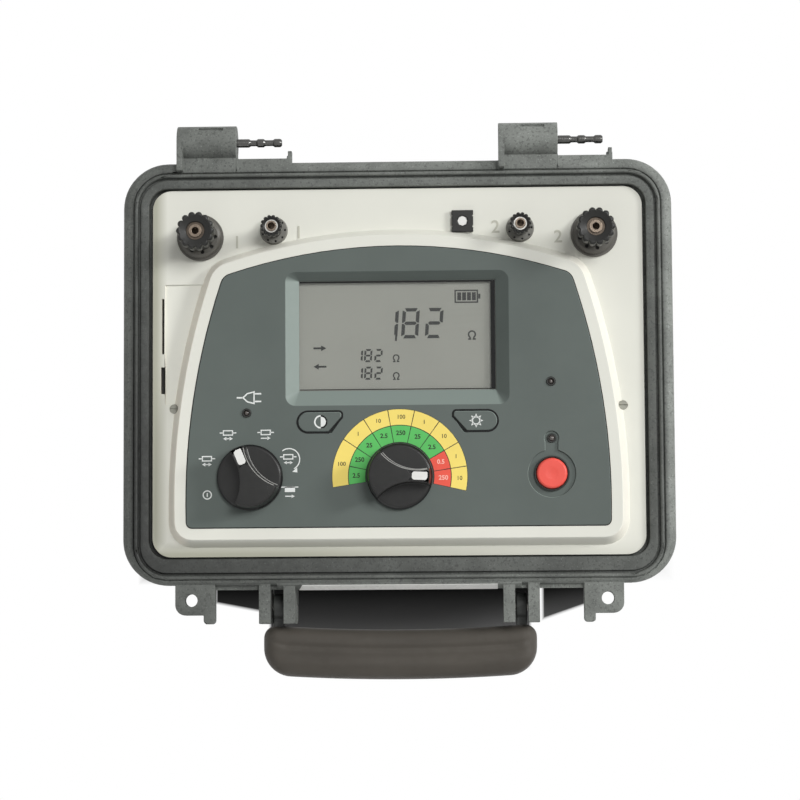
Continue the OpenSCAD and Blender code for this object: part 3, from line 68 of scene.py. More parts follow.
# The rim's middle lies a little behind the model's origin
CASE_SHIFT = middle("function_knob")[1] - KNOB_Y
FASCIA_Z = top("fascia")
BLOCK_Z = top("panel")
PANEL_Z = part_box("c1_base")[0].z / MM
CELL_Z = top("display_cell")
KEY_Z = top("contrast_button")


# Node materials

class NodeTree:
    """Shader nodes under construction, whose inputs are values or the outputs of other nodes."""

    def __init__(self, tree):
        self.tree = tree

    def feed(self, socket, value):
        if isinstance(value, bpy.types.NodeSocket):
            self.tree.links.new(value, socket)
        else:
            socket.default_value = value

    def add(self, kind, inputs=(), **settings):
        node = self.tree.nodes.new(kind)
        for name, value in settings.items():
            setattr(node, name, value)
        for name, value in dict(inputs).items():
            self.feed(node.inputs[name], value)
        return node

    def ramp(self, value, low, high, start=0.0, end=1.0):
        return self.add("ShaderNodeMapRange", {
            "Value": value, "From Min": low, "From Max": high, "To Min": start, "To Max": end}).outputs[0]

    def calc(self, operation, first, second=0.0):
        return self.add("ShaderNodeMath", {0: first, 1: second}, operation=operation).outputs[0]

    def split(self, vector):
        """The X, Y and Z of a vector."""
        return self.add("ShaderNodeSeparateXYZ", {0: vector}).outputs

    def seen(self):
        """1 for the rays that show the surface, straight or by way of gloss or glass, and 0 for others."""
        path = self.add("ShaderNodeLightPath").outputs
        indirect = self.calc("MAXIMUM", path["Is Glossy Ray"], path["Is Transmission Ray"])
        return self.calc("MAXIMUM", path["Is Camera Ray"], indirect)


class Shader(NodeTree):
    """A material under construction: a Principled surface and the nodes that feed it."""

    def __init__(self, name, **sockets):
        self.material = bpy.data.materials.new(name)
        self.material.use_nodes = True
        super().__init__(self.material.node_tree)
        self.surface = self.tree.nodes["Principled BSDF"]
        for socket, value in sockets.items():
            self.surface.inputs[socket.replace("_", " ")].default_value = value
        self.place = self.add("ShaderNodeTexCoord").outputs["Object"]

    def link(self, output, socket):
        self.tree.links.new(output, self.surface.inputs[socket])

    def noise(self, size, detail=3.0, stretch=(1, 1, 1), rough=0.55):
        """Noise whose features are about size millimetres wide."""
        place = self.place
        if stretch != (1, 1, 1):
            place = self.add("ShaderNodeMapping", {"Vector": place, "Scale": stretch}).outputs[0]
        return self.add("ShaderNodeTexNoise", {
            "Vector": place, "Scale": 1 / (size * MM), "Detail": detail, "Roughness": rough}).outputs["Fac"]

    def drift(self, size, start=0.0, end=1.0):
        """A value that wanders between two ends, in patches about size millimetres wide."""
        return self.ramp(self.noise(size), 0.3, 0.7, start, end)

    def axes(self):
        """Place across and along the case, counted from the rim's middle, in millimetres."""
        place = self.split(self.place)
        x, y = (self.calc("DIVIDE", place[axis], MM) for axis in "XY")
        return x, self.calc("SUBTRACT", y, CASE_SHIFT)

    def normal(self):
        return self.add("ShaderNodeNewGeometry").outputs["Normal"]

    def mix(self, share, one, other, blend="MIX"):
        node = self.add("ShaderNodeMix", {0: share, 6: one, 7: other}, data_type="RGBA", blend_type=blend)
        return node.outputs[2]

    def bump(self, height, depth, strength=1.0):
        """Relief of depth millimetres."""
        node = self.add("ShaderNodeBump", {"Height": height, "Distance": depth * MM, "Strength": strength})
        self.link(node.outputs[0], "Normal")


def rgb(red, green, blue):
    """A colour given as it shows on a screen, 0 to 255, turned into linear light."""
    def linear(c):
        c /= 255
        return c / 12.92 if c <= 0.04045 else ((c + 0.055) / 1.055) ** 2.4
    return (linear(red), linear(green), linear(blue), 1)


def scaled(colour, share):
    return tuple(c * share for c in colour[:3]) + (1,)


# How far a moulded plastic's roughness strays to either side
ROUGH_SPREAD = 0.06


def moulded(name, colour, rough, specular, mottle, mottle_size, grain, relief):
    """Moulded plastic: slow changes of tone, a fine grain and uneven gloss."""
    s = Shader(name, Base_Color=colour, Roughness=rough, Specular_IOR_Level=specular)
    s.link(s.mix(s.drift(mottle_size), scaled(colour, 1 - mottle), scaled(colour, 1 + mottle)), "Base Color")
    s.link(s.drift(grain * 6, rough - ROUGH_SPREAD, rough + ROUGH_SPREAD), "Roughness")
    s.bump(s.noise(grain, 2.0), relief)
    return s.material


# Painted shade in darker bands of the panel: the x over which the left one fades out, the y over which the lower
# one does, and the x over which the lower one weakens to its least
LEFT_BAND, LOW_BAND, LOW_BAND_RUN = (-138.5, -132.0), (-103.5, -96.5), (-60.0, 120.0)
LOW_BAND_LEAST = 0.15


def panel_plastic():
    """Ivory plastic with painted shade, warmer and darker, along the left and lower edges, and painted light on
    its flanks.
    """
    colour = rgb(224, 224, 214)
    s = Shader("ivory_plastic", Roughness=0.5, Specular_IOR_Level=0.3)
    tone = s.mix(s.drift(60), scaled(colour, 0.975), scaled(colour, 1.025))
    x, y = s.axes()
    left = s.ramp(x, *LEFT_BAND, 1.0, 0.0)
    low = s.calc("MULTIPLY", s.ramp(y, *LOW_BAND, 1.0, 0.0), s.ramp(x, *LOW_BAND_RUN, 1.0, LOW_BAND_LEAST))
    painted_edge_shade = s.mix(s.calc("MAXIMUM", left, low), tone, rgb(172, 172, 156))
    # Painted light: flanks that face left or right are paler
    sideways = s.split(s.normal())["X"]
    flank = s.calc("MAXIMUM", s.ramp(sideways, -0.1, -0.5), s.ramp(sideways, 0.1, 0.6, 0.0, 0.5))
    s.link(s.mix(flank, painted_edge_shade, rgb(248, 243, 230)), "Base Color")
    s.link(s.drift(4.2, 0.44, 0.56), "Roughness")
    s.bump(s.noise(0.7, 2.0), 0.02)
    return s.material


# Painted light: the side that the paler slopes of the slate plastic face, and how much paler they are
PAINTED_LIGHT_SIDE, PAINTED_LIGHT_GAIN = (0.8, 0.78, 0.0), 2.3


def slate_plastic():
    """Slate plastic with painted light: its slopes towards the right and the back are paler."""
    colour = rgb(87, 95, 91)
    s = Shader("slate_plastic", Roughness=0.5, Specular_IOR_Level=0.3)
    tone = s.mix(s.drift(55), scaled(colour, 0.93), scaled(colour, 1.07))
    facing = s.add("ShaderNodeVectorMath", {0: s.normal(), 1: PAINTED_LIGHT_SIDE}, operation="DOT_PRODUCT")
    s.link(s.mix(s.ramp(facing.outputs["Value"], 0.06, 0.43), tone, scaled(colour, PAINTED_LIGHT_GAIN)), "Base Color")
    s.link(s.drift(3, 0.44, 0.56), "Roughness")
    s.bump(s.noise(0.5, 2.0), 0.02)
    return s.material


# Half width, half depth and corner radius of the rim
RIM_HALF_W, RIM_HALF_D, RIM_CORNER = 157.5, 121.5, 26.0
# How far inside the rim's outline the painted inner shade ends and the painted outer light is reached
RIM_INNER, RIM_OUTER = 6.0, 3.5
# Painted light and shade of the case inside and outside the rim: in the middle, and their change across and
# along
INNER_SHADE, INNER_TILT, INNER_BEND = 0.68, (0.26, 0.26), 0.15
OUTER_SHADE, OUTER_TILT = 1.16, (0.36, 0.1)
LEAST_SHADE = 0.18


def foam_moulding():
    """The case's speckled structural foam, with painted shade inside the rim and to the left and front, and
    painted light outside it to the right.
    """
    base = rgb(104, 107, 103)
    s = Shader("case_foam", Roughness=0.62, Specular_IOR_Level=0.35)
    colour = s.mix(s.ramp(s.noise(16, 5.0), 0.36, 0.64), scaled(base, 0.78), scaled(base, 1.12))
    dark = s.ramp(s.noise(1.5), 0.36, 0.46, 1.0, 0.0)
    colour = s.mix(s.calc("MULTIPLY", dark, 0.65), colour, scaled(base, 0.42))
    light = s.ramp(s.noise(1.0, stretch=(1.1, 0.9, 1)), 0.6, 0.72)
    colour = s.mix(s.calc("MULTIPLY", light, 0.42), colour, rgb(160, 166, 160))
    x, y = s.axes()
    across, along = s.calc("DIVIDE", x, RIM_HALF_W), s.calc("DIVIDE", y, RIM_HALF_D)

    def tilted(by_x, by_y):
        return s.calc("ADD", s.calc("MULTIPLY", across, by_x), s.calc("MULTIPLY", along, by_y))

    def square(value):
        return s.calc("MULTIPLY", value, value)

    def into_corner(value, half):
        return s.calc("MAXIMUM", s.calc("SUBTRACT", s.calc("ABSOLUTE", value), half - RIM_CORNER), 0.0)

    # Painted light and shade: a factor by place that multiplies the foam's colour
    bend = s.calc("MULTIPLY", s.calc("SUBTRACT", square(along), square(across)), INNER_BEND)
    inner = s.calc("ADD", s.calc("ADD", tilted(*INNER_TILT), INNER_SHADE), bend)
    outer = s.calc("ADD", tilted(*OUTER_TILT), OUTER_SHADE)
    reach_x, reach_y = into_corner(x, RIM_HALF_W), into_corner(y, RIM_HALF_D)
    reach = s.calc("SQRT", s.calc("ADD", square(reach_x), square(reach_y)))
    outside = s.ramp(reach, RIM_CORNER - RIM_INNER, RIM_CORNER - RIM_OUTER)
    shade = s.calc("ADD", s.calc("MULTIPLY", outside, s.calc("SUBTRACT", outer, inner)), inner)
    s.link(s.mix(1.0, colour, s.calc("MAXIMUM", shade, LEAST_SHADE), "MULTIPLY"), "Base Color")
    s.link(s.drift(3, 0.5, 0.74), "Roughness")
    s.bump(s.noise(1.3, 4.0), 0.12, 0.8)
    return s.material


def turned_metal(name, colour, rough):
    """Metal with the fine rings that turning leaves."""
    s = Shader(name, Base_Color=colour, Roughness=rough, Metallic=1.0)
    rings = s.noise(0.5, 2.0, (1, 0.1, 0.1))
    s.link(s.mix(s.drift(3), scaled(colour, 0.8), colour), "Base Color")
    s.link(s.ramp(rings, 0.3, 0.7, rough - 0.1, rough + 0.14), "Roughness")
    s.bump(rings, 0.008)
    return s.material


def rubber(name, colour):
    s = Shader(name, Roughness=0.6, Specular_IOR_Level=0.25, Sheen_Weight=0.12, Sheen_Roughness=0.5)
    tone = s.ramp(s.noise(28, 4.0, (0.35, 1, 1)), 0.35, 0.65)
    s.link(s.mix(tone, scaled(colour, 0.86), scaled(colour, 1.16)), "Base Color")
    s.link(s.drift(5, 0.5, 0.68), "Roughness")
    s.bump(s.noise(0.9), 0.03)
    return s.material


def clear(name, colour, alpha, rough):
    s = Shader(name, Base_Color=colour, Roughness=rough, Alpha=alpha, Specular_IOR_Level=0.5)
    s.link(s.drift(30, rough * 0.5, rough * 1.8), "Roughness")
    s.bump(s.noise(60), 0.002)
    return s.material


# How far inside a knob's edge the painted shade starts to darken the plastic and is darkest
KNOB_FACE, KNOB_DARK = 1.3, 0.8


def knob_plastic(name, node):
    """Black plastic with painted shade, darker where the knob's edge turns down."""
    x, y, _ = middle(node)
    low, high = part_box(node)
    edge_r = (high.x - low.x) / 2
    s = Shader(name, Roughness=0.34, Specular_IOR_Level=0.3)
    flat = s.add("ShaderNodeVectorMath", {0: s.place, 1: (1, 1, 0)}, operation="MULTIPLY").outputs[0]
    off = s.add("ShaderNodeVectorMath", {0: flat, 1: (x * MM, y * MM, 0)}, operation="DISTANCE")
    turned = s.ramp(off.outputs["Value"], edge_r - KNOB_FACE * MM, edge_r - KNOB_DARK * MM)
    face = rgb(30, 30, 29)
    tone = s.mix(s.drift(14), scaled(face, 0.84), scaled(face, 1.16))
    s.link(s.mix(turned, tone, rgb(8, 8, 8)), "Base Color")
    s.link(s.drift(2.4, 0.28, 0.4), "Roughness")
    s.bump(s.noise(0.4, 2.0), 0.012)
    return s.material


def circuit_board():
    green = rgb(28, 92, 58)
    s = Shader("circuit_board", Roughness=0.35)
    cells = s.add("ShaderNodeTexVoronoi", {"Vector": s.place, "Scale": 1 / (6 * MM)}, feature="DISTANCE_TO_EDGE")
    tracks = s.ramp(cells.outputs["Distance"], 0.02, 0.05, 1.0, 0.0)
    s.link(s.mix(tracks, green, rgb(50, 130, 84)), "Base Color")
    s.bump(tracks, 0.03)
    return s.material


# After a moulded colour: roughness, specular level, share and size of the mottle, grain and relief
CASE = foam_moulding()
IVORY = panel_plastic()
SLATE = slate_plastic()
BLACK = moulded("black_plastic", rgb(31, 31, 29), 0.38, 0.3, 0.14, 14, 0.4, 0.012)
# Painted shade, for the gap bands and the display glass's edge band
PAINTED_SHADE = moulded("painted_dark_shade", rgb(12, 13, 13), 0.6, 0.2, 0.1, 8, 0.4, 0.006)
HANDLE = moulded("handle_plastic", rgb(70, 72, 70), 0.48, 0.3, 0.1, 20, 0.6, 0.03)
GRIP = rubber("grip_rubber", rgb(68, 64, 58))
SEAL = rubber("seal_rubber", rgb(48, 48, 46))
STEEL = turned_metal("bright_steel", rgb(200, 198, 192), 0.28)
CHROME = turned_metal("dark_chrome", rgb(92, 92, 90), 0.24)
NICKEL = turned_metal("dark_nickel", rgb(84, 76, 68), 0.36)
BRONZE = turned_metal("worn_bronze", rgb(124, 112, 100), 0.3)
SCREW = moulded("coated_screw", rgb(150, 150, 140), 0.42, 0.35, 0.1, 4, 0.4, 0.01)
COLLAR = moulded("grey_collar", rgb(88, 86, 80), 0.42, 0.35, 0.08, 8, 0.5, 0.012)
PALE_COLLAR = moulded("pale_collar", rgb(112, 111, 105), 0.42, 0.35, 0.08, 8, 0.5, 0.012)
ALUMINIUM = turned_metal("extruded_aluminium", rgb(170, 172, 176), 0.42)
RED = moulded("red_plastic", rgb(233, 88, 76), 0.38, 0.35, 0.05, 10, 0.5, 0.008)
WHITE = moulded("white_mark", rgb(228, 228, 224), 0.45, 0.3, 0.03, 6, 0.3, 0.006)
LCD = moulded("lcd_face", rgb(145, 146, 138), 0.34, 0.35, 0.045, 70, 0.35, 0.004)
SEGMENT = moulded("lcd_segment", rgb(16, 17, 16), 0.4, 0.3, 0.06, 8, 0.4, 0.004)
WINDOW = clear("display_window", rgb(215, 220, 216), 0.05, 0.06)
LENS = clear("lamp_lens", rgb(92, 86, 82), 0.94, 0.05)
FUNCTION_KNOB = knob_plastic("function_knob_plastic", "function_knob")
RANGE_KNOB = knob_plastic("range_knob_plastic", "range_knob")
BOARD = circuit_board()
# Painted highlight lines on the knobs
PAINTED_HIGHLIGHT = moulded("painted_edge_highlight", rgb(158, 158, 154), 0.4, 0.35, 0.12, 6, 0.4, 0.006)
WINDING = moulded("varnished_winding", rgb(104, 84, 54), 0.4, 0.4, 0.2, 3, 0.6, 0.06)
CELL = moulded("cell_sleeve", rgb(46, 110, 148), 0.3, 0.4, 0.08, 12, 0.6, 0.01)
PRINT = moulded("white_print", rgb(226, 229, 226), 0.5, 0.25, 0.03, 5, 0.25, 0.004)
INK = moulded("dark_print", rgb(44, 46, 40), 0.5, 0.25, 0.06, 5, 0.25, 0.004)
YELLOW = moulded("yellow_print", rgb(246, 222, 116), 0.5, 0.25, 0.03, 18, 0.3, 0.004)
GREEN = moulded("green_print", rgb(92, 190, 98), 0.5, 0.25, 0.05, 14, 0.3, 0.004)
CORAL = moulded("red_print", rgb(236, 92, 76), 0.5, 0.25, 0.05, 14, 0.3, 0.004)
PALE_PRINT = moulded("pale_red_print", rgb(250, 190, 176), 0.5, 0.25, 0.03, 5, 0.25, 0.004)
# Pale glossy strip: its pale colour is a painted highlight
PALE_STRIP = moulded("painted_highlight_strip", rgb(228, 228, 224), 0.3, 0.4, 0.05, 20, 0.4, 0.01)
MARK = moulded("moulded_mark", rgb(190, 189, 176), 0.55, 0.25, 0.04, 6, 0.5, 0.01)

NODE_MATERIALS = {
    CASE: ["case_tub"], IVORY: ["panel"], GRIP: ["handle_grip"], HANDLE: ["handle_core"],
    SLATE: ["fascia", "contrast_button", "backlight_button"],
    SEAL: ["rubber_feet", "panel_gasket"], SCREW: ["panel_screws"],
    COLLAR: ["c1_base", "c2_base"], PALE_COLLAR: ["p1_base", "p2_base"],
    STEEL: ["foot_screws", "handle_pins", "board_screws", "function_shaft", "range_shaft",
            "display_pillars", "terminal_nuts", "p1_insert", "p2_insert"],
    BRONZE: ["c1_stem", "c2_stem", "p1_stem", "p2_stem"],
    NICKEL: ["c1_insert", "c2_insert"], CHROME: ["left_hinge_pin", "right_hinge_pin"],
    FUNCTION_KNOB: ["function_knob"], RANGE_KNOB: ["range_knob"],
    BLACK: ["function_switch", "range_switch", "contrast_switch", "backlight_switch", "test_switch",
            "test_bezel", "lamp_rings", "remote_socket", "battery_tray", "battery_strap",
            "c1_cap", "c2_cap", "p1_cap", "p2_cap"],
    WHITE: ["function_pointer", "range_pointer", "display_backlight"],
    RED: ["test_button"], LENS: ["lamp_lenses"], WINDOW: ["display_window"], LCD: ["display_cell"],
    BOARD: ["main_board", "display_board", "power_board"], CELL: ["battery_cells"],
    ALUMINIUM: ["heat_sink"], WINDING: ["transformer"],
}

# Radius of the softened edges, by node
SOFT_EDGES = {
    "case_tub": 0.4, "panel": 0.2, "fascia": 0.2, "handle_core": 0.8, "remote_socket": 0.3,
    "function_knob": 0.45, "range_knob": 0.45, "contrast_button": 0.4, "backlight_button": 0.4,
    "test_button": 0.3, "test_bezel": 0.3, "lamp_rings": 0.2, "rubber_feet": 0.5, "panel_screws": 0.15,
    "c1_base": 0.2, "c2_base": 0.2, "p1_base": 0.12, "p2_base": 0.12,
    "left_hinge_pin": 0.2, "right_hinge_pin": 0.2, "c1_stem": 0.15, "c2_stem": 0.15,
    "p1_stem": 0.1, "p2_stem": 0.1,
}
# Least angle of an edge that is softened, in degrees, and the nodes that need another one
EDGE_ANGLE = 28
SHALLOW_EDGES = {"fascia": 18}
# Nodes with a flat face that runs round an opening or a slot, which can't be one polygon
FRAMED = {"case_tub", "function_knob", "range_knob"}
WELD_GAP = 0.001
FLAT_ANGLE = 0.4


def soften(obj, radius):
    """Rounds an object's sharp edges and lets its broad faces set the shading."""
    weld = obj.modifiers.new("weld", "WELD")
    weld.merge_threshold = WELD_GAP * MM
    if obj.name not in FRAMED:
        flat = obj.modifiers.new("flat", "DECIMATE")
        flat.decimate_type = "DISSOLVE"
        flat.angle_limit = math.radians(FLAT_ANGLE)
    edge = obj.modifiers.new("edge", "BEVEL")
    edge.width = radius * MM
    edge.segments = 2
    edge.limit_method = "ANGLE"
    edge.angle_limit = math.radians(SHALLOW_EDGES.get(obj.name, EDGE_ANGLE))
    edge.use_clamp_overlap = False
    edge.harden_normals = False
    shade = obj.modifiers.new("shade", "WEIGHTED_NORMAL")
    shade.keep_sharp = False
    shade.weight = 60


def clear_custom_normals(mesh):
    for name in ("custom_normal", "sharp_edge", "sharp_face"):
        if name in mesh.attributes:
            mesh.attributes.remove(mesh.attributes[name])
    mesh.polygons.foreach_set("use_smooth", [True] * len(mesh.polygons))


for look, names in NODE_MATERIALS.items():
    for name in names:
        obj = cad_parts[name]
        obj.data.materials.clear()
        obj.data.materials.append(look)
        if name in SOFT_EDGES:
            clear_custom_normals(obj.data)
            soften(obj, SOFT_EDGES[name])


# Building pieces

def finished(name, mesh, body, look, smooth=False):
    """Wraps a mesh as a piece that rides on a body and takes its finish from a slot."""
    mesh.materials.append(look)
    mesh.polygons.foreach_set("use_smooth", [smooth] * len(mesh.polygons))
    mesh.update()
    obj = bpy.data.objects.new(name, mesh)
    bpy.context.scene.collection.objects.link(obj)
    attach(obj, body)
    return obj


def mesh_of(name, points, faces):
    """A mesh from points in millimetres, x and y counted from the rim's middle."""
    mesh = bpy.data.meshes.new(name)
    moved = [(x * MM, (y + CASE_SHIFT) * MM, z * MM) for x, y, z in points]
    mesh.from_pydata(moved, [], faces)
    bm = bmesh.new()
    bm.from_mesh(mesh)
    bmesh.ops.remove_doubles(bm, verts=bm.verts, dist=0.0005 * MM)
    bmesh.ops.recalc_face_normals(bm, faces=bm.faces)
    bm.to_mesh(mesh)
    bm.free()
    return mesh


def polygon(points):
    return points, [tuple(range(len(points)))]


def corners(x0, y0, x1, y1):
    return [(x0, y0), (x1, y0), (x1, y1), (x0, y1)]


def circle_points(x, y, r, count=40):
    turns = np.linspace(0, 2 * math.pi, count, endpoint=False)
    return [(x + r * math.cos(a), y + r * math.sin(a)) for a in turns]


def arc_points(x, y, r, start, end, count):
    """Points between two angles in degrees."""
    turns = np.radians(np.linspace(start, end, count))
    return [(x + r * math.cos(a), y + r * math.sin(a)) for a in turns]


def disc(x, y, r, count):
    return polygon(circle_points(x, y, r, count))


def strip(left, right, closed=False):
    """Faces between two rows of points."""
    n = len(left)
    last = n if closed else n - 1
    faces = [(i, n + i, n + (i + 1) % n, (i + 1) % n) for i in range(last)]
    return left + right, faces


def outline(node, floor_z):
    """Convex outline of what a node has above a level, seen from above, anticlockwise."""
    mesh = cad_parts[node].data
    row = sorted({(round(v.co.x / MM, 2), round(v.co.y / MM - CASE_SHIFT, 2))
                  for v in mesh.vertices if v.co.z / MM > floor_z})

    def chain(points):
        kept = []
        for p in points:
            while len(kept) > 1 and ((kept[-1][0] - kept[-2][0]) * (p[1] - kept[-2][1])
                                     - (kept[-1][1] - kept[-2][1]) * (p[0] - kept[-2][0])) <= 0:
                kept.pop()
            kept.append(p)
        return kept[:-1]
    return chain(row) + chain(row[::-1])


def widened(points, by):
    """An anticlockwise outline moved outward."""
    def unit(v):
        return v / np.linalg.norm(v, axis=1)[:, None]
    p = np.array(points)
    before, after = unit(p - np.roll(p, 1, 0)), unit(np.roll(p, -1, 0) - p)
    along = unit(before + after)
    out = np.stack([along[:, 1], -along[:, 0]], 1)
    side = np.stack([before[:, 1], -before[:, 0]], 1)
    return [tuple(q) for q in p + out * (by / (out * side).sum(1))[:, None]]


def sector(x, y, inner, outer, start, end):
    """A piece of a ring between two angles in degrees, with a point about every three."""
    count = max(3, int(abs(end - start) / 3))
    return strip(arc_points(x, y, inner, start, end, count), arc_points(x, y, outer, start, end, count))


def ring(x, y, inner, outer):
    return strip(circle_points(x, y, inner), circle_points(x, y, outer), closed=True)


def line(points, width, closed=False):
    """A line of even width through points, with mitred corners."""
    p = np.array(points, float)
    n = len(p)
    sides = []
    for i in range(n):
        before = p[i] - p[i - 1] if closed or i > 0 else p[i + 1] - p[i]
        after = p[(i + 1) % n] - p[i] if closed or i < n - 1 else p[i] - p[i - 1]
        a, b = before / np.linalg.norm(before), after / np.linalg.norm(after)
        normal = np.array([-(a + b)[1], (a + b)[0]])
        normal /= np.linalg.norm(normal)
        reach = width / 2 / max(0.35, normal @ np.array([-a[1], a[0]]))
        sides.append(normal * reach)
    left = [tuple(q + s) for q, s in zip(p, sides)]
    right = [tuple(q - s) for q, s in zip(p, sides)]
    return strip(left, right, closed)


def arrow(x, y, length, head, width, ends):
    """A level arrow with a head at one or both ends, which are -1 for the left and 1 for the right."""
    half = length / 2
    short = half - head * 0.8
    left, right = (short if end in ends else half for end in (-1, 1))
    parts = [line([(x - left, y), (x + right, y)], width)]
    for end in ends:
        tip = x + end * half
        back = tip - end * head
        parts.append(polygon([(tip, y), (back, y + head * 0.55), (back, y - head * 0.55)]))
    return parts


# Height of a figure as a share of the font's size
FIGURE_SHARE = 0.7


def figures(text, x, y, height, bold):
    """Plain figures, centred on a point, from the program's own font."""
    curve = bpy.data.curves.new("figures", "FONT")
    curve.body = text
    curve.align_x = "CENTER"
    curve.align_y = "CENTER"
    curve.size = height / FIGURE_SHARE
    curve.offset = bold
    curve.resolution_u = 3
    obj = bpy.data.objects.new("figures", curve)
    bpy.context.scene.collection.objects.link(obj)
    bpy.context.view_layer.update()
    mesh = obj.to_mesh()
    points = [(v.co.x + x, v.co.y + y) for v in mesh.vertices]
    faces = [tuple(f.vertices) for f in mesh.polygons]
    obj.to_mesh_clear()
    bpy.data.objects.remove(obj)
    bpy.data.curves.remove(curve)
    return points, faces


def raised(name, parts, z, height, body, look, sink=0.05):
    """Flat outlines as thin closed plates that stand height over level z."""
    points, faces = [], []
    for flat, cells in parts:
        start = len(points)
        count = len(flat)
        points += [(p[0], p[1], z + height) for p in flat] + [(p[0], p[1], z - sink) for p in flat]
        edges = {}
        for cell in cells:
            faces.append(tuple(start + i for i in cell))
            faces.append(tuple(start + count + i for i in reversed(cell)))
            for i, j in zip(cell, cell[1:] + cell[:1]):
                edges[(i, j)] = edges.get((j, i)) is None
                if (j, i) in edges:
                    edges[(i, j)] = edges[(j, i)] = False
        for (i, j), outside in edges.items():
            if outside:
                faces.append((start + j, start + i, start + count + i, start + count + j))
    return finished(name, mesh_of(name, points, faces), body, look)


def lofted(name, rings, body, look, wrapped=False):
    """A skin over rings of points, with flat ends or wrapped from the last ring to the first."""
    n, count = len(rings[0]), len(rings)
    faces = []
    for k in range(count if wrapped else count - 1):
        here, after = k * n, (k + 1) % count * n
        faces += [(here + i, here + (i + 1) % n, after + (i + 1) % n, after + i) for i in range(n)]
    if not wrapped:
        faces += [tuple(range(n)), tuple((count - 1) * n + i for i in range(n))]
    return finished(name, mesh_of(name, sum(rings, []), faces), body, look, smooth=True)


# Handle grip: a rounded bar on a wide arc, with soft ends and long finger grooves

BOW = 3.0                                            # how much farther out the middle lies than the ends
END_OUTER, END_INNER, END_THICK = 15.0, 7.5, 8.5     # end radii of the outer edge, the inner edge and the faces
GROOVES = ((0.24, 0.9, 1.5), (-0.12, 0.5, 3.0), (-0.66, 0.35, 2.2))    # place, depth and width
GROOVE_START = 16.0                                  # distance from an end at which the grooves are full
END_RUN, BODY_START = 20.0, 24.0                     # distances from an end: last close section, first wide one
SECTION_POINTS = 112
SQUARENESS = 0.28                                    # exponent of the section: less is squarer


def drawn_in(distance, radius):
    """How far an edge has drawn in at this distance from the end."""
    d = max(0.0, radius - distance)
    return radius - math.sqrt(max(0.0, radius ** 2 - d ** 2))


def build_grip():
    low, high = (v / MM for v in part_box("handle_grip"))
    half_len = (high.x - low.x) / 2
    level = (high.z + low.z) / 2
    thick = (high.z - low.z) / 2
    width = high.y - low.y - BOW
    inner_y = high.y - CASE_SHIFT
    close = (1 - np.cos(np.linspace(0, math.pi / 2, 15))) * END_RUN
    wide = np.linspace(BODY_START - half_len, half_len - BODY_START, 31)
    rings = []
    for x in np.concatenate([close - half_len, wide, half_len - close[::-1]]):
        distance = half_len - abs(x)
        bowed = BOW * (1 - (x / half_len) ** 2)
        out_y = inner_y - width - bowed + drawn_in(distance, END_OUTER)
        in_y = inner_y - bowed - drawn_in(distance, END_INNER)
        half_t = thick - drawn_in(distance, END_THICK)
        mid, half_w = (out_y + in_y) / 2, (in_y - out_y) / 2
        section = []
        for t in np.linspace(0, 2 * math.pi, SECTION_POINTS, endpoint=False):
            across = math.cos(t)
            dy = half_w * across
            dz = 0.0
            if abs(across) < 1:
                dz = half_t * math.copysign((1 - across ** 4) ** SQUARENESS, math.sin(t))
            dip = sum(depth * math.exp(-((dy / width * 2 - place) * width / 2 / spread) ** 2)
                      for place, depth, spread in GROOVES)
            fade = min(1.0, distance / GROOVE_START) * min(1.0, abs(dz) / half_t * 1.2) ** 4
            section.append((x, mid + dy, level + dz - math.copysign(dip * fade, dz)))
        rings.append(section)
    grip = lofted("rubber_grip", rings, "handle", GRIP)
    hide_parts("handle_grip")


build_grip()


# Terminal caps: a scalloped head with a dished face on a narrower neck, over a base with dimples

# The head as a share of the post's height, the neck and the scallops' depth as shares of the cap's radius
HEAD_SHARE, NECK_SHARE, VALLEY_SHARE = 0.29, 0.72, 0.165
LOBES, LOBE_POINTS = 14, 12
DISH = 2.6
# Ring of dimples: its radius by kind of post, its step in degrees, and the dimples' share of the post's height
DIMPLE_RING, DIMPLE_STEP, DIMPLE_SHARE = {"c": 8.7, "p": 6.5}, 40, 0.055


def build_cap(post):
    low, high = (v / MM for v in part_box(post + "_cap"))
    x, y = centre(post + "_cap")
    r = (high.x - low.x) / 2
    z, rise = low.z, high.z - low.z
    insert_low, insert_high = (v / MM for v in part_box(post + "_insert"))
    flange_r = (insert_high.x - insert_low.x) / 2
    hole_r = flange_r - r * 0.065 + 0.06
    neck = r * NECK_SHARE
    head = rise - (high.z - PANEL_Z) * HEAD_SHARE
    # Radius, height and how deep the scallops cut, up the outside and down to the hole
    side = [(flange_r + 0.12, 0, 0), (neck - 0.25, 0, 0), (neck, 0.25, 0), (neck, head - 0.6, 0),
            (neck + 0.6, head, 0), (r - 1.5, head, 0.3), (r - 0.6, head + 0.3, 0.7), (r, head + 1.2, 1),
            (r, rise - 1.7, 1), (r - 0.25, rise - 0.8, 0.95), (r - 0.8, rise - 0.2, 0.8),
            (r - 1.5, rise, 0.55), (r * 0.8, rise - 0.1, 0), (hole_r + 1.0, rise - DISH / 2 + 0.1, 0),
            (hole_r + 0.3, rise - DISH / 2, 0), (hole_r, rise - DISH / 2 - 0.3, 0),
            (hole_r, rise - DISH - 1, 0)]
    rings = []
    for radius, height, cut in side:
        section = []
        for t in np.linspace(0, 2 * math.pi, LOBES * LOBE_POINTS, endpoint=False):
            wave = abs(math.cos(t * LOBES / 2)) ** 0.65
            section_r = radius - r * VALLEY_SHARE * cut * (1 - wave)
            section.append((x + section_r * math.cos(t), y + section_r * math.sin(t), z + height))
        rings.append(section)
    cap = lofted(post + "_scalloped_cap", rings, post + "_cap", BLACK, wrapped=True)
    shade = cap.modifiers.new("shade", "WEIGHTED_NORMAL")
    shade.weight = 50
    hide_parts(post + "_cap")


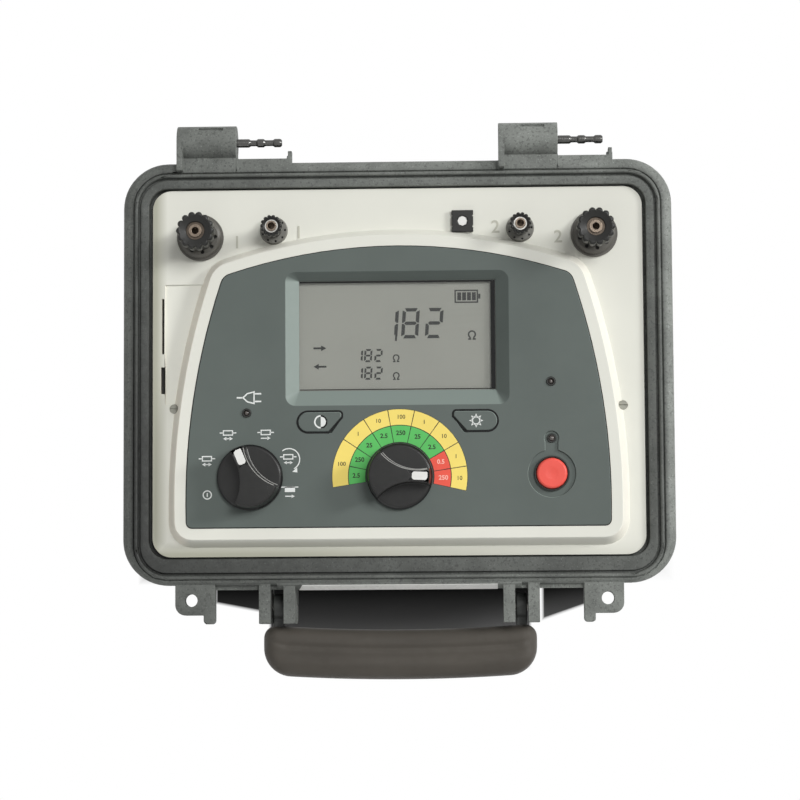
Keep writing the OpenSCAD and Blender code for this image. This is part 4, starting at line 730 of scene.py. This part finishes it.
def build_dimple_shade(post):
    """Black discs on the floors of the base's ring of dimples: painted shade."""
    low, high = (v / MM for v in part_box(post + "_cap"))
    x, y = centre(post + "_cap")
    height, r = high.z - PANEL_Z, (high.x - low.x) / 2
    reach = DIMPLE_RING[post[0]]
    floor_z = PANEL_Z + height / 7 - height * DIMPLE_SHARE
    parts = [disc(x + reach * math.cos(a), y + reach * math.sin(a), r / 10 - 0.03, 16)
             for a in np.radians(np.arange(0, 360, DIMPLE_STEP))]
    raised(post + "_dimples", parts, floor_z, 0.05, "case", BLACK, sink=0.01)


for post in ("c1", "c2", "p1", "p2"):
    build_cap(post)
    build_dimple_shade(post)


# Range scale: two rings of coloured fields round the range knob

SCALE_X, SCALE_Y = middle("range_knob")[0], KNOB_Y
OUTER_R, SPLIT_R, INNER_R = 38.5, 29.2, 19.4
# Angles of the lines between the fields, in degrees, and the figures in the fields
OUTER_STOPS = [189, 146, 122, 100, 77, 54, 30, 8.5, -12.7]
INNER_STOPS = [189, 168, 146, 122, 100, 77, 54, 30, 8.5, -12.7]
OUTER_FIGURES = ["100", "1", "10", "100", "1", "10", "1", "10"]
INNER_FIGURES = ["2.5", "250", "25", "2.5", "250", "25", "2.5", "0.5", "250"]
FIRST_RED = 7                  # inner field
LINE_W = 0.45
# Height of the print, and of what is printed over it
PRINT_T, INK_T = 0.06, 0.1


def printed(name, parts, height, look):
    """Print on the fascia."""
    raised(name, parts, FASCIA_Z, height, "case", look)


def fields(stops, inner, outer):
    """The fields of one colour, each drawn in by half a dividing line."""
    parts = []
    for start, end in zip(stops, stops[1:]):
        gap = math.degrees(LINE_W / 2 / ((inner + outer) / 2))
        parts.append(sector(SCALE_X, SCALE_Y, inner + LINE_W / 2, outer - LINE_W / 2, start - gap, end + gap))
    return parts


def labels(texts, stops, radius, height, bold):
    parts = []
    for text, start, end in zip(texts, stops, stops[1:]):
        turn = math.radians((start + end) / 2)
        x, y = SCALE_X + radius * math.cos(turn), SCALE_Y + radius * math.sin(turn)
        parts.append(figures(text, x, y, height, bold))
    return parts


def build_scale():
    ground = sector(SCALE_X, SCALE_Y, INNER_R - 0.4, OUTER_R, OUTER_STOPS[0], OUTER_STOPS[-1])
    printed("scale_ground", [ground], PRINT_T / 2, INK)
    printed("scale_yellow", fields(OUTER_STOPS, SPLIT_R, OUTER_R), PRINT_T, YELLOW)
    printed("scale_green", fields(INNER_STOPS[:FIRST_RED + 1], INNER_R, SPLIT_R), PRINT_T, GREEN)
    printed("scale_red", fields(INNER_STOPS[FIRST_RED:], INNER_R, SPLIT_R), PRINT_T, CORAL)
    outer = labels(OUTER_FIGURES, OUTER_STOPS, (SPLIT_R + OUTER_R) / 2, 2.3, 0.03)
    inner = labels(INNER_FIGURES, INNER_STOPS, (INNER_R + SPLIT_R) / 2 + 0.4, 2.5, 0.09)
    printed("scale_figures", outer + inner[:FIRST_RED], INK_T, INK)
    printed("scale_light_figures", inner[FIRST_RED:], INK_T, PALE_PRINT)


build_scale()


# Painted highlights: pale lines along one side of each knob's grip

# Middle and radius of the hollow beside the grip, with the grip's tip along x
HOLLOW_X, HOLLOW_Y, HOLLOW_R = 9.0, 30.4, 27.0
KNOB_R, KNOB_RISE, SKIRT_RISE = 18.7, 16.0, 4.0
# Length and half width of the gap that the upper line leaves for the pointer
POINTER_LEN, POINTER_HALF_W = 8.5, 3.0
# By line: what its radius adds to the hollow's, how far it stays inside the knob's outline, and how far it lies
# below the knob's top
HIGHLIGHT_LINES = {"edge": (0.25, 2.5, 0.0), "foot": (-1.0, 1.7, KNOB_RISE - SKIRT_RISE)}
HIGHLIGHT_W = 0.4


def build_knob_highlights(knob, pointer, side):
    """Thin pale lines along the hollow's upper edge and along its foot: painted highlights."""
    x, y = centre(knob)
    tip_x, tip_y = centre(pointer)
    turn = Matrix.Rotation(math.atan2(tip_y - y, tip_x - x), 2)
    for part, (added, inside, below) in HIGHLIGHT_LINES.items():
        radius = HOLLOW_R + added
        path = []
        for a in np.radians(np.linspace(0, 180, 91)):
            p = Vector((HOLLOW_X + radius * math.cos(a), side * (HOLLOW_Y - radius * math.sin(a))))
            off_pointer = p.x < KNOB_R - POINTER_LEN or abs(p.y) > POINTER_HALF_W
            if p.length < KNOB_R - inside and (part == "foot" or off_pointer):
                path.append(tuple(turn @ p + Vector((x, y))))
        raised(knob + "_" + part + "_line", [line(path, HIGHLIGHT_W)], top(knob) - below, 0.04,
               knob, PAINTED_HIGHLIGHT, sink=0.02)


build_knob_highlights("function_knob", "function_pointer", -1)
build_knob_highlights("range_knob", "range_pointer", 1)


# Dark band round the edge of the display's glass, partly a real border and partly the recess's painted shadow,
# so wider where the recess shades it

WINDOW_HALF_W, WINDOW_HALF_D, WINDOW_Y = 55.7, 31.2, 20.3
MASK_RIGHT, MASK_BACK, MASK_FRONT = 2.3, 0.9, 0.5


def build_window_mask():
    left, right = -WINDOW_HALF_W, WINDOW_HALF_W
    front, back = WINDOW_Y - WINDOW_HALF_D, WINDOW_Y + WINDOW_HALF_D
    inner = right - MASK_RIGHT
    parts = [polygon(corners(inner, front, right, back)),
             polygon(corners(left, back - MASK_BACK, inner, back)),
             polygon(corners(left, front, inner, front + MASK_FRONT))]
    raised("window_mask", parts, top("display_window"), 0.05, "case", PAINTED_SHADE)


build_window_mask()


# Bright contact in the middle of the remote socket

CONTACT_R, CONTACT_SIDES = 2.8, 8


def build_remote_contact():
    low, high = (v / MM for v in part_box("remote_socket"))
    level = high.z - (high.x - low.x) / 12
    contact = disc(*centre("remote_socket"), CONTACT_R, CONTACT_SIDES)
    raised("remote_contact", [contact], level, 0.5, "case", WHITE)


build_remote_contact()


# Painted shade: dark bands round the two display buttons and round the fascia, where their gaps are

# A band of painted shade on a level round a node's outline
def gap_shade_band(name, node, level, gap, width):
    edge = outline(node, level)
    band = strip(widened(edge, gap), widened(edge, gap + width), closed=True)
    raised(name, [band], level, 0.05, "case", PAINTED_SHADE)


gap_shade_band("contrast_gap_shade", "contrast_button", FASCIA_Z, 0.12, 1.0)
gap_shade_band("backlight_gap_shade", "backlight_button", FASCIA_Z, 0.12, 1.0)
gap_shade_band("fascia_gap_shade", "fascia", BLOCK_Z, 0.0, 0.5)


# Symbols on the fascia and on the buttons

SYMBOL_W = 0.62


def resistor(x, y):
    return [line(corners(x - 2.6, y - 1.25, x + 2.6, y + 1.25), SYMBOL_W, closed=True),
            line([(x - 4.7, y), (x - 2.6, y)], SYMBOL_W), line([(x + 2.6, y), (x + 4.7, y)], SYMBOL_W)]


def build_symbols():
    # Off: a ring with an upright bar
    parts = [ring(-108.3, -70.4, 2.0, 2.65), line([(-108.3, -69.3), (-108.3, -71.5)], SYMBOL_W)]
    # The test modes round the function knob
    for x, y, ends in ((-108.5, -49.8, (-1, 1)), (-96.5, -35.2, (-1, 1)), (-75.0, -35.1, (1,))):
        parts += resistor(x, y) + arrow(x, y - 3.3, 5.6, 1.9, SYMBOL_W, ends)
    # Repeated test: the same with a line that turns back
    x, y = -62.2, -49.1
    parts += resistor(x, y) + arrow(x, y - 3.3, 5.2, 1.7, SYMBOL_W, (-1, 1))
    parts += [line(arc_points(x + 0.4, y - 1.4, 6.1, 128, -62, 22), SYMBOL_W),
              polygon([(x + 2.2, y - 8.5), (x + 5.0, y - 6.1), (x + 5.2, y - 9.0)])]
    # Inductive load: a filled block on its line
    x, y = -61.3, -67.4
    parts += [polygon(corners(x - 2.9, y - 1.7, x + 2.9, y + 1.5)),
              line([(x - 4.8, y + 1.1), (x + 4.8, y + 1.1)], SYMBOL_W)]
    parts += arrow(x, y - 4.1, 5.4, 1.7, SYMBOL_W, (1,))
    # Mains plug over the charge lamp
    x, y = -84.9, -15.2
    plug = [(x - 3.0, y), (x - 0.6, y + 2.3), (x + 3.3, y + 3.3), (x + 3.3, y - 3.3), (x - 0.6, y - 2.3)]
    parts.append(line(plug, 0.75, closed=True))
    for start, end, level in ((-6.6, -3.2, 0.0), (3.5, 7.4, 2.2), (3.5, 7.4, -2.2)):
        parts.append(line([(x + start, y + level), (x + end, y + level)], 0.9))
    printed("fascia_symbols", parts, INK_T, PRINT)


def build_key_symbols():
    # Contrast: a ring with one half filled
    x, y = centre("contrast_button")
    x, r = x + 0.6, 3.8
    parts = [ring(x, y, r - 0.85, r), polygon(arc_points(x, y, r, -90, 90, 20))]
    raised("contrast_symbol", parts, KEY_Z, INK_T, "contrast_button", PRINT)
    # Backlight: a ring with rays
    x, y = centre("backlight_button")
    x += 0.4
    parts = [ring(x, y, 1.75, 2.65)]
    for a in range(0, 360, 45):
        ray = [(2.4, math.radians(a - 18)), (4.1, math.radians(a)), (2.4, math.radians(a + 18))]
        parts.append(polygon([(x + r * math.cos(t), y + r * math.sin(t)) for r, t in ray]))
    raised("backlight_symbol", parts, KEY_Z, INK_T, "backlight_button", PRINT)


build_symbols()
build_key_symbols()


# Figures on the liquid crystal: seven-segment digits, a battery and two arrows

SEGMENTS = {"1": "bc", "2": "abged", "8": "abcdefg"}
# Width, height and stroke of the digits, and how far they lean over their height
LARGE, SMALL, LEAN = (9.8, 17.4, 1.95), (4.5, 7.5, 1.1), 0.07


def segment_digit(digit, x, y, w, h, t):
    """One digit from lower left corner (x, y), made of bars with bevelled ends."""
    gap = t * 0.16
    mid = h / 2
    c = t / 2
    bars = {
        "a": [(c + gap, h), (w - c - gap, h), (w - t - gap, h - t), (t + gap, h - t)],
        "d": [(c + gap, 0), (w - c - gap, 0), (w - t - gap, t), (t + gap, t)],
        "g": [(c + gap, mid), (t + gap, mid + c), (w - t - gap, mid + c), (w - c - gap, mid),
              (w - t - gap, mid - c), (t + gap, mid - c)],
        "f": [(0, h - c - gap), (0, mid + gap), (c, mid + gap), (t, mid + c + gap), (t, h - t - gap)],
        "e": [(0, c + gap), (0, mid - gap), (c, mid - gap), (t, mid - c - gap), (t, t + gap)],
    }
    bars["b"] = [(w - px, py) for px, py in bars["f"]]
    bars["c"] = [(w - px, py) for px, py in bars["e"]]
    return [polygon([(x + px + py * LEAN, y + py) for px, py in bars[s]]) for s in SEGMENTS[digit]]


def ohms(x, y, h):
    """A horseshoe with feet, as a plain unit mark."""
    r = h * 0.42
    bend = arc_points(x, y + h - r, r, -52, 232, 16)
    right = [(x + r * 1.15, y), (x + r * 0.45, y)]
    left = [(x - r * 0.45, y), (x - r * 1.15, y)]
    return [line(right + bend + left, h * 0.19)]


def build_display():
    parts = []
    for digit, x in (("1", -9.9), ("8", 2.0), ("2", 15.6)):
        parts += segment_digit(digit, x, 18.6, *LARGE)
    parts.append(line([(-0.7, 20.4), (-0.9, 17.2)], 1.1))
    for y in (5.2, -4.9):
        for digit, x in (("1", -24.6), ("8", -19.3), ("2", -13.4)):
            parts += segment_digit(digit, x, y, *SMALL)
    parts += ohms(42.6, 17.9, 4.6) + ohms(-0.8, 5.4, 3.8) + ohms(-0.8, -4.8, 3.8)
    # Battery with its charge bars
    parts += [line(corners(33.2, 39.1, 45.9, 45.9), 0.8, closed=True), polygon(corners(46.4, 41.1, 47.6, 43.9))]
    parts += [polygon(corners(x, 40.2, x + 2.2, 44.8)) for x in (34.4, 37.2, 40.0, 42.8)]
    parts += arrow(-44.4, 13.4, 7.4, 3.0, 1.1, (1,)) + arrow(-44.4, 2.8, 7.4, 3.0, 1.1, (-1,))
    raised("lcd_segments", parts, CELL_Z, 0.05, "case", SEGMENT, sink=0.02)


build_display()


# Pale glossy plate along the strip between the handle's brackets, whose paleness is a painted highlight

def build_front_trim():
    outer_y, outer_z = -124.2, 115.7     # lower edge of the strip's slope
    inner_y, inner_z = -121.6, 119.7     # upper edge
    low_left, high_left, right = -57.0, -55.0, 56.0
    lift_out, lift_up = 0.28, 0.21
    ground = [(low_left, outer_y, outer_z), (right, outer_y, outer_z), (right, inner_y, inner_z),
              (high_left, inner_y, inner_z)]
    lifted = [(x, y - lift_out, z + lift_up) for x, y, z in ground]
    faces = [(0, 3, 2, 1), (4, 5, 6, 7), (0, 1, 5, 4), (1, 2, 6, 5), (2, 3, 7, 6), (3, 0, 4, 7)]
    finished("front_trim", mesh_of("front_trim", ground + lifted, faces), "case", PALE_STRIP)


build_front_trim()


# Numbers moulded beside the terminals

def build_terminal_numbers():
    parts = []
    for text, x, y in (("1", -92.0, 75.0), ("1", -56.5, 80.4), ("2", 56.6, 82.4), ("2", 92.4, 76.4)):
        parts.append(figures(text, x, y, 7.2, 0.09))
    raised("terminal_numbers", parts, PANEL_Z, 0.25, "case", MARK)


build_terminal_numbers()


# Floor, backdrop, light and camera

FLOOR_HALF, FLOOR_TONE = 6.0, 0.93
# Rectangles on the floor: half width, half depth, middle from the rim's middle, and slope of the long edges
CASE_FOOT, HANDLE_FOOT = (155.0, 114.5, 0.0, 5.0, 0.0), (68.0, 18.0, 0.0, -145.0, 0.0)
# Painted shadow on the floor under the openings at the front, which lie in deep shade, and how wide its soft
# edge is
SHADES = ((80.5, 20.0, -3.5, -132.0, 0.0), (15.0, 10.75, -102.0, -122.75, -0.19),
          (14.0, 12.75, 96.5, -124.75, 0.34))
SHADE_EDGE = 2.0
# From the painted shadow's front to its back: place and tone
SHADE_Y, SHADE_TONE = (-146.0, -122.0), (0.18, 0.02)
# Distance from the feet at which the floor is plain white, in oblique views and from above
FADE_WIDE, FADE_TIGHT = 120.0, 9.0
# Upright share of a view's direction: oblique up to the first, from above from the second
OBLIQUE, OVERHEAD = 0.93, 0.98


def build_floor():
    """A matt floor that the camera sees fade to plain white, that keeps the shadows near the case, and that has
    painted shadow under the front openings.
    """
    mesh = bpy.data.meshes.new("floor")
    ground = corners(-FLOOR_HALF, -FLOOR_HALF, FLOOR_HALF, FLOOR_HALF)
    mesh.from_pydata([(x, y, 0) for x, y in ground], [], [(0, 1, 2, 3)])
    floor = bpy.data.objects.new("floor", mesh)
    bpy.context.scene.collection.objects.link(floor)
    material = bpy.data.materials.new("pale_floor")
    material.use_nodes = True
    s = NodeTree(material.node_tree)
    s.tree.nodes.clear()
    place = s.split(s.add("ShaderNodeTexCoord").outputs["Object"])

    def outside(half_x, half_y, mid_x, mid_y, slope):
        """Distance outside a rectangle whose long edges may slope."""
        x = s.calc("SUBTRACT", place["X"], mid_x * MM)
        y = s.calc("SUBTRACT", place["Y"], (mid_y + CASE_SHIFT) * MM)
        y = s.calc("SUBTRACT", y, s.calc("MULTIPLY", x, slope))
        return s.calc("MAXIMUM", s.calc("SUBTRACT", s.calc("ABSOLUTE", x), half_x * MM),
                      s.calc("SUBTRACT", s.calc("ABSOLUTE", y), half_y * MM))

    upright = s.split(s.add("ShaderNodeNewGeometry").outputs["Incoming"])["Z"]
    above = s.ramp(upright, OBLIQUE, OVERHEAD)
    # Painted shadow: the floor under the front openings turns dark
    shade = outside(*SHADES[0])
    for rectangle in SHADES[1:]:
        shade = s.calc("MINIMUM", shade, outside(*rectangle))
    pale = s.calc("MAXIMUM", s.ramp(shade, -SHADE_EDGE * MM, 0.0), s.calc("SUBTRACT", 1.0, above))
    front, back = ((y + CASE_SHIFT) * MM for y in SHADE_Y)
    deep = s.calc("MULTIPLY", s.calc("SUBTRACT", 1.0, pale), s.ramp(place["Y"], front, back, *SHADE_TONE))
    matt = s.add("ShaderNodeBsdfDiffuse", {"Color": s.calc("ADD", s.calc("MULTIPLY", pale, FLOOR_TONE), deep)})
    # The white fades in with the distance from the case, so that the near shadow stays
    nearest = s.calc("MINIMUM", outside(*CASE_FOOT), outside(*HANDLE_FOOT))
    far = s.ramp(nearest, 0.0, s.ramp(above, 0.0, 1.0, FADE_WIDE * MM, FADE_TIGHT * MM))
    share = s.calc("MULTIPLY", s.calc("MULTIPLY", far, pale), s.seen())
    white = s.add("ShaderNodeEmission")
    mix = s.add("ShaderNodeMixShader", {0: share, 1: matt.outputs[0], 2: white.outputs[0]})
    s.add("ShaderNodeOutputMaterial", {"Surface": mix.outputs[0]})
    mesh.materials.append(material)


def build_world(ambient):
    """A backdrop that is seen white, and that lights the scene with the ambient share of it."""
    world = bpy.data.worlds.new("studio")
    world.use_nodes = True
    bpy.context.scene.world = world
    s = NodeTree(world.node_tree)
    back = s.tree.nodes["Background"]
    s.feed(back.inputs["Color"], (1, 1, 1, 1))
    s.feed(back.inputs["Strength"], s.ramp(s.seen(), 0.0, 1.0, ambient, 1.0))


def add_light(name, kind, energy, place, aim, size):
    """A light with its place and aim in metres; size is a sun's angle in degrees or an area's width."""
    data = bpy.data.lights.new(name, kind)
    data.energy = energy
    if kind == "SUN":
        data.angle = math.radians(size)
    else:
        data.size = size
    lamp = bpy.data.objects.new(name, data)
    bpy.context.scene.collection.objects.link(lamp)
    lamp.location = place
    lamp.rotation_mode = "QUATERNION"
    lamp.rotation_quaternion = (Vector(aim) - Vector(place)).to_track_quat("-Z", "Y")


build_floor()
build_world(ambient=0.34)
add_light("key", "SUN", energy=1.35, place=(0.38, 0.32, 1.0), aim=(0, 0, 0), size=22)
add_light("side", "SUN", energy=1.7, place=(0.86, 0.3, 0.47), aim=(0, 0, 0), size=14)
add_light("front_fill", "AREA", energy=3.0, place=(-0.5, -1.5, 0.5), aim=(0, -0.1, 0.1), size=1.2)


# The camera as the photograph was taken: nearly overhead, from in front of the case

def build_camera():
    frame_w = 800              # pixels
    focal = 2740.0             # pixels
    nadir = (90.0, 240.0)      # the point straight below, in pixels from the frame's centre
    roll = -0.0064             # radians
    place = (51.3, -153.4, 1676.8)
    down = np.array([nadir[0], nadir[1], focal])
    down /= np.linalg.norm(down)
    up = -down
    right = np.array([math.cos(roll), math.sin(roll), 0.0])
    right -= (right @ down) * down
    right /= np.linalg.norm(right)
    ahead = np.cross(up, right)
    turn = np.array([right, ahead, up]) @ np.diag([1, -1, -1])
    data = bpy.data.cameras.new("camera")
    data.sensor_width = 36.0
    data.lens = focal * data.sensor_width / frame_w
    data.clip_start = 0.05
    data.clip_end = 20.0
    camera = bpy.data.objects.new("camera", data)
    bpy.context.scene.collection.objects.link(camera)
    pose = Matrix(turn.tolist()).to_4x4()
    pose.translation = Vector((place[0] * MM, (place[1] + CASE_SHIFT) * MM, place[2] * MM))
    camera.matrix_world = pose
    bpy.context.scene.camera = camera


build_camera()
bpy.context.scene.view_settings.view_transform = "Standard"
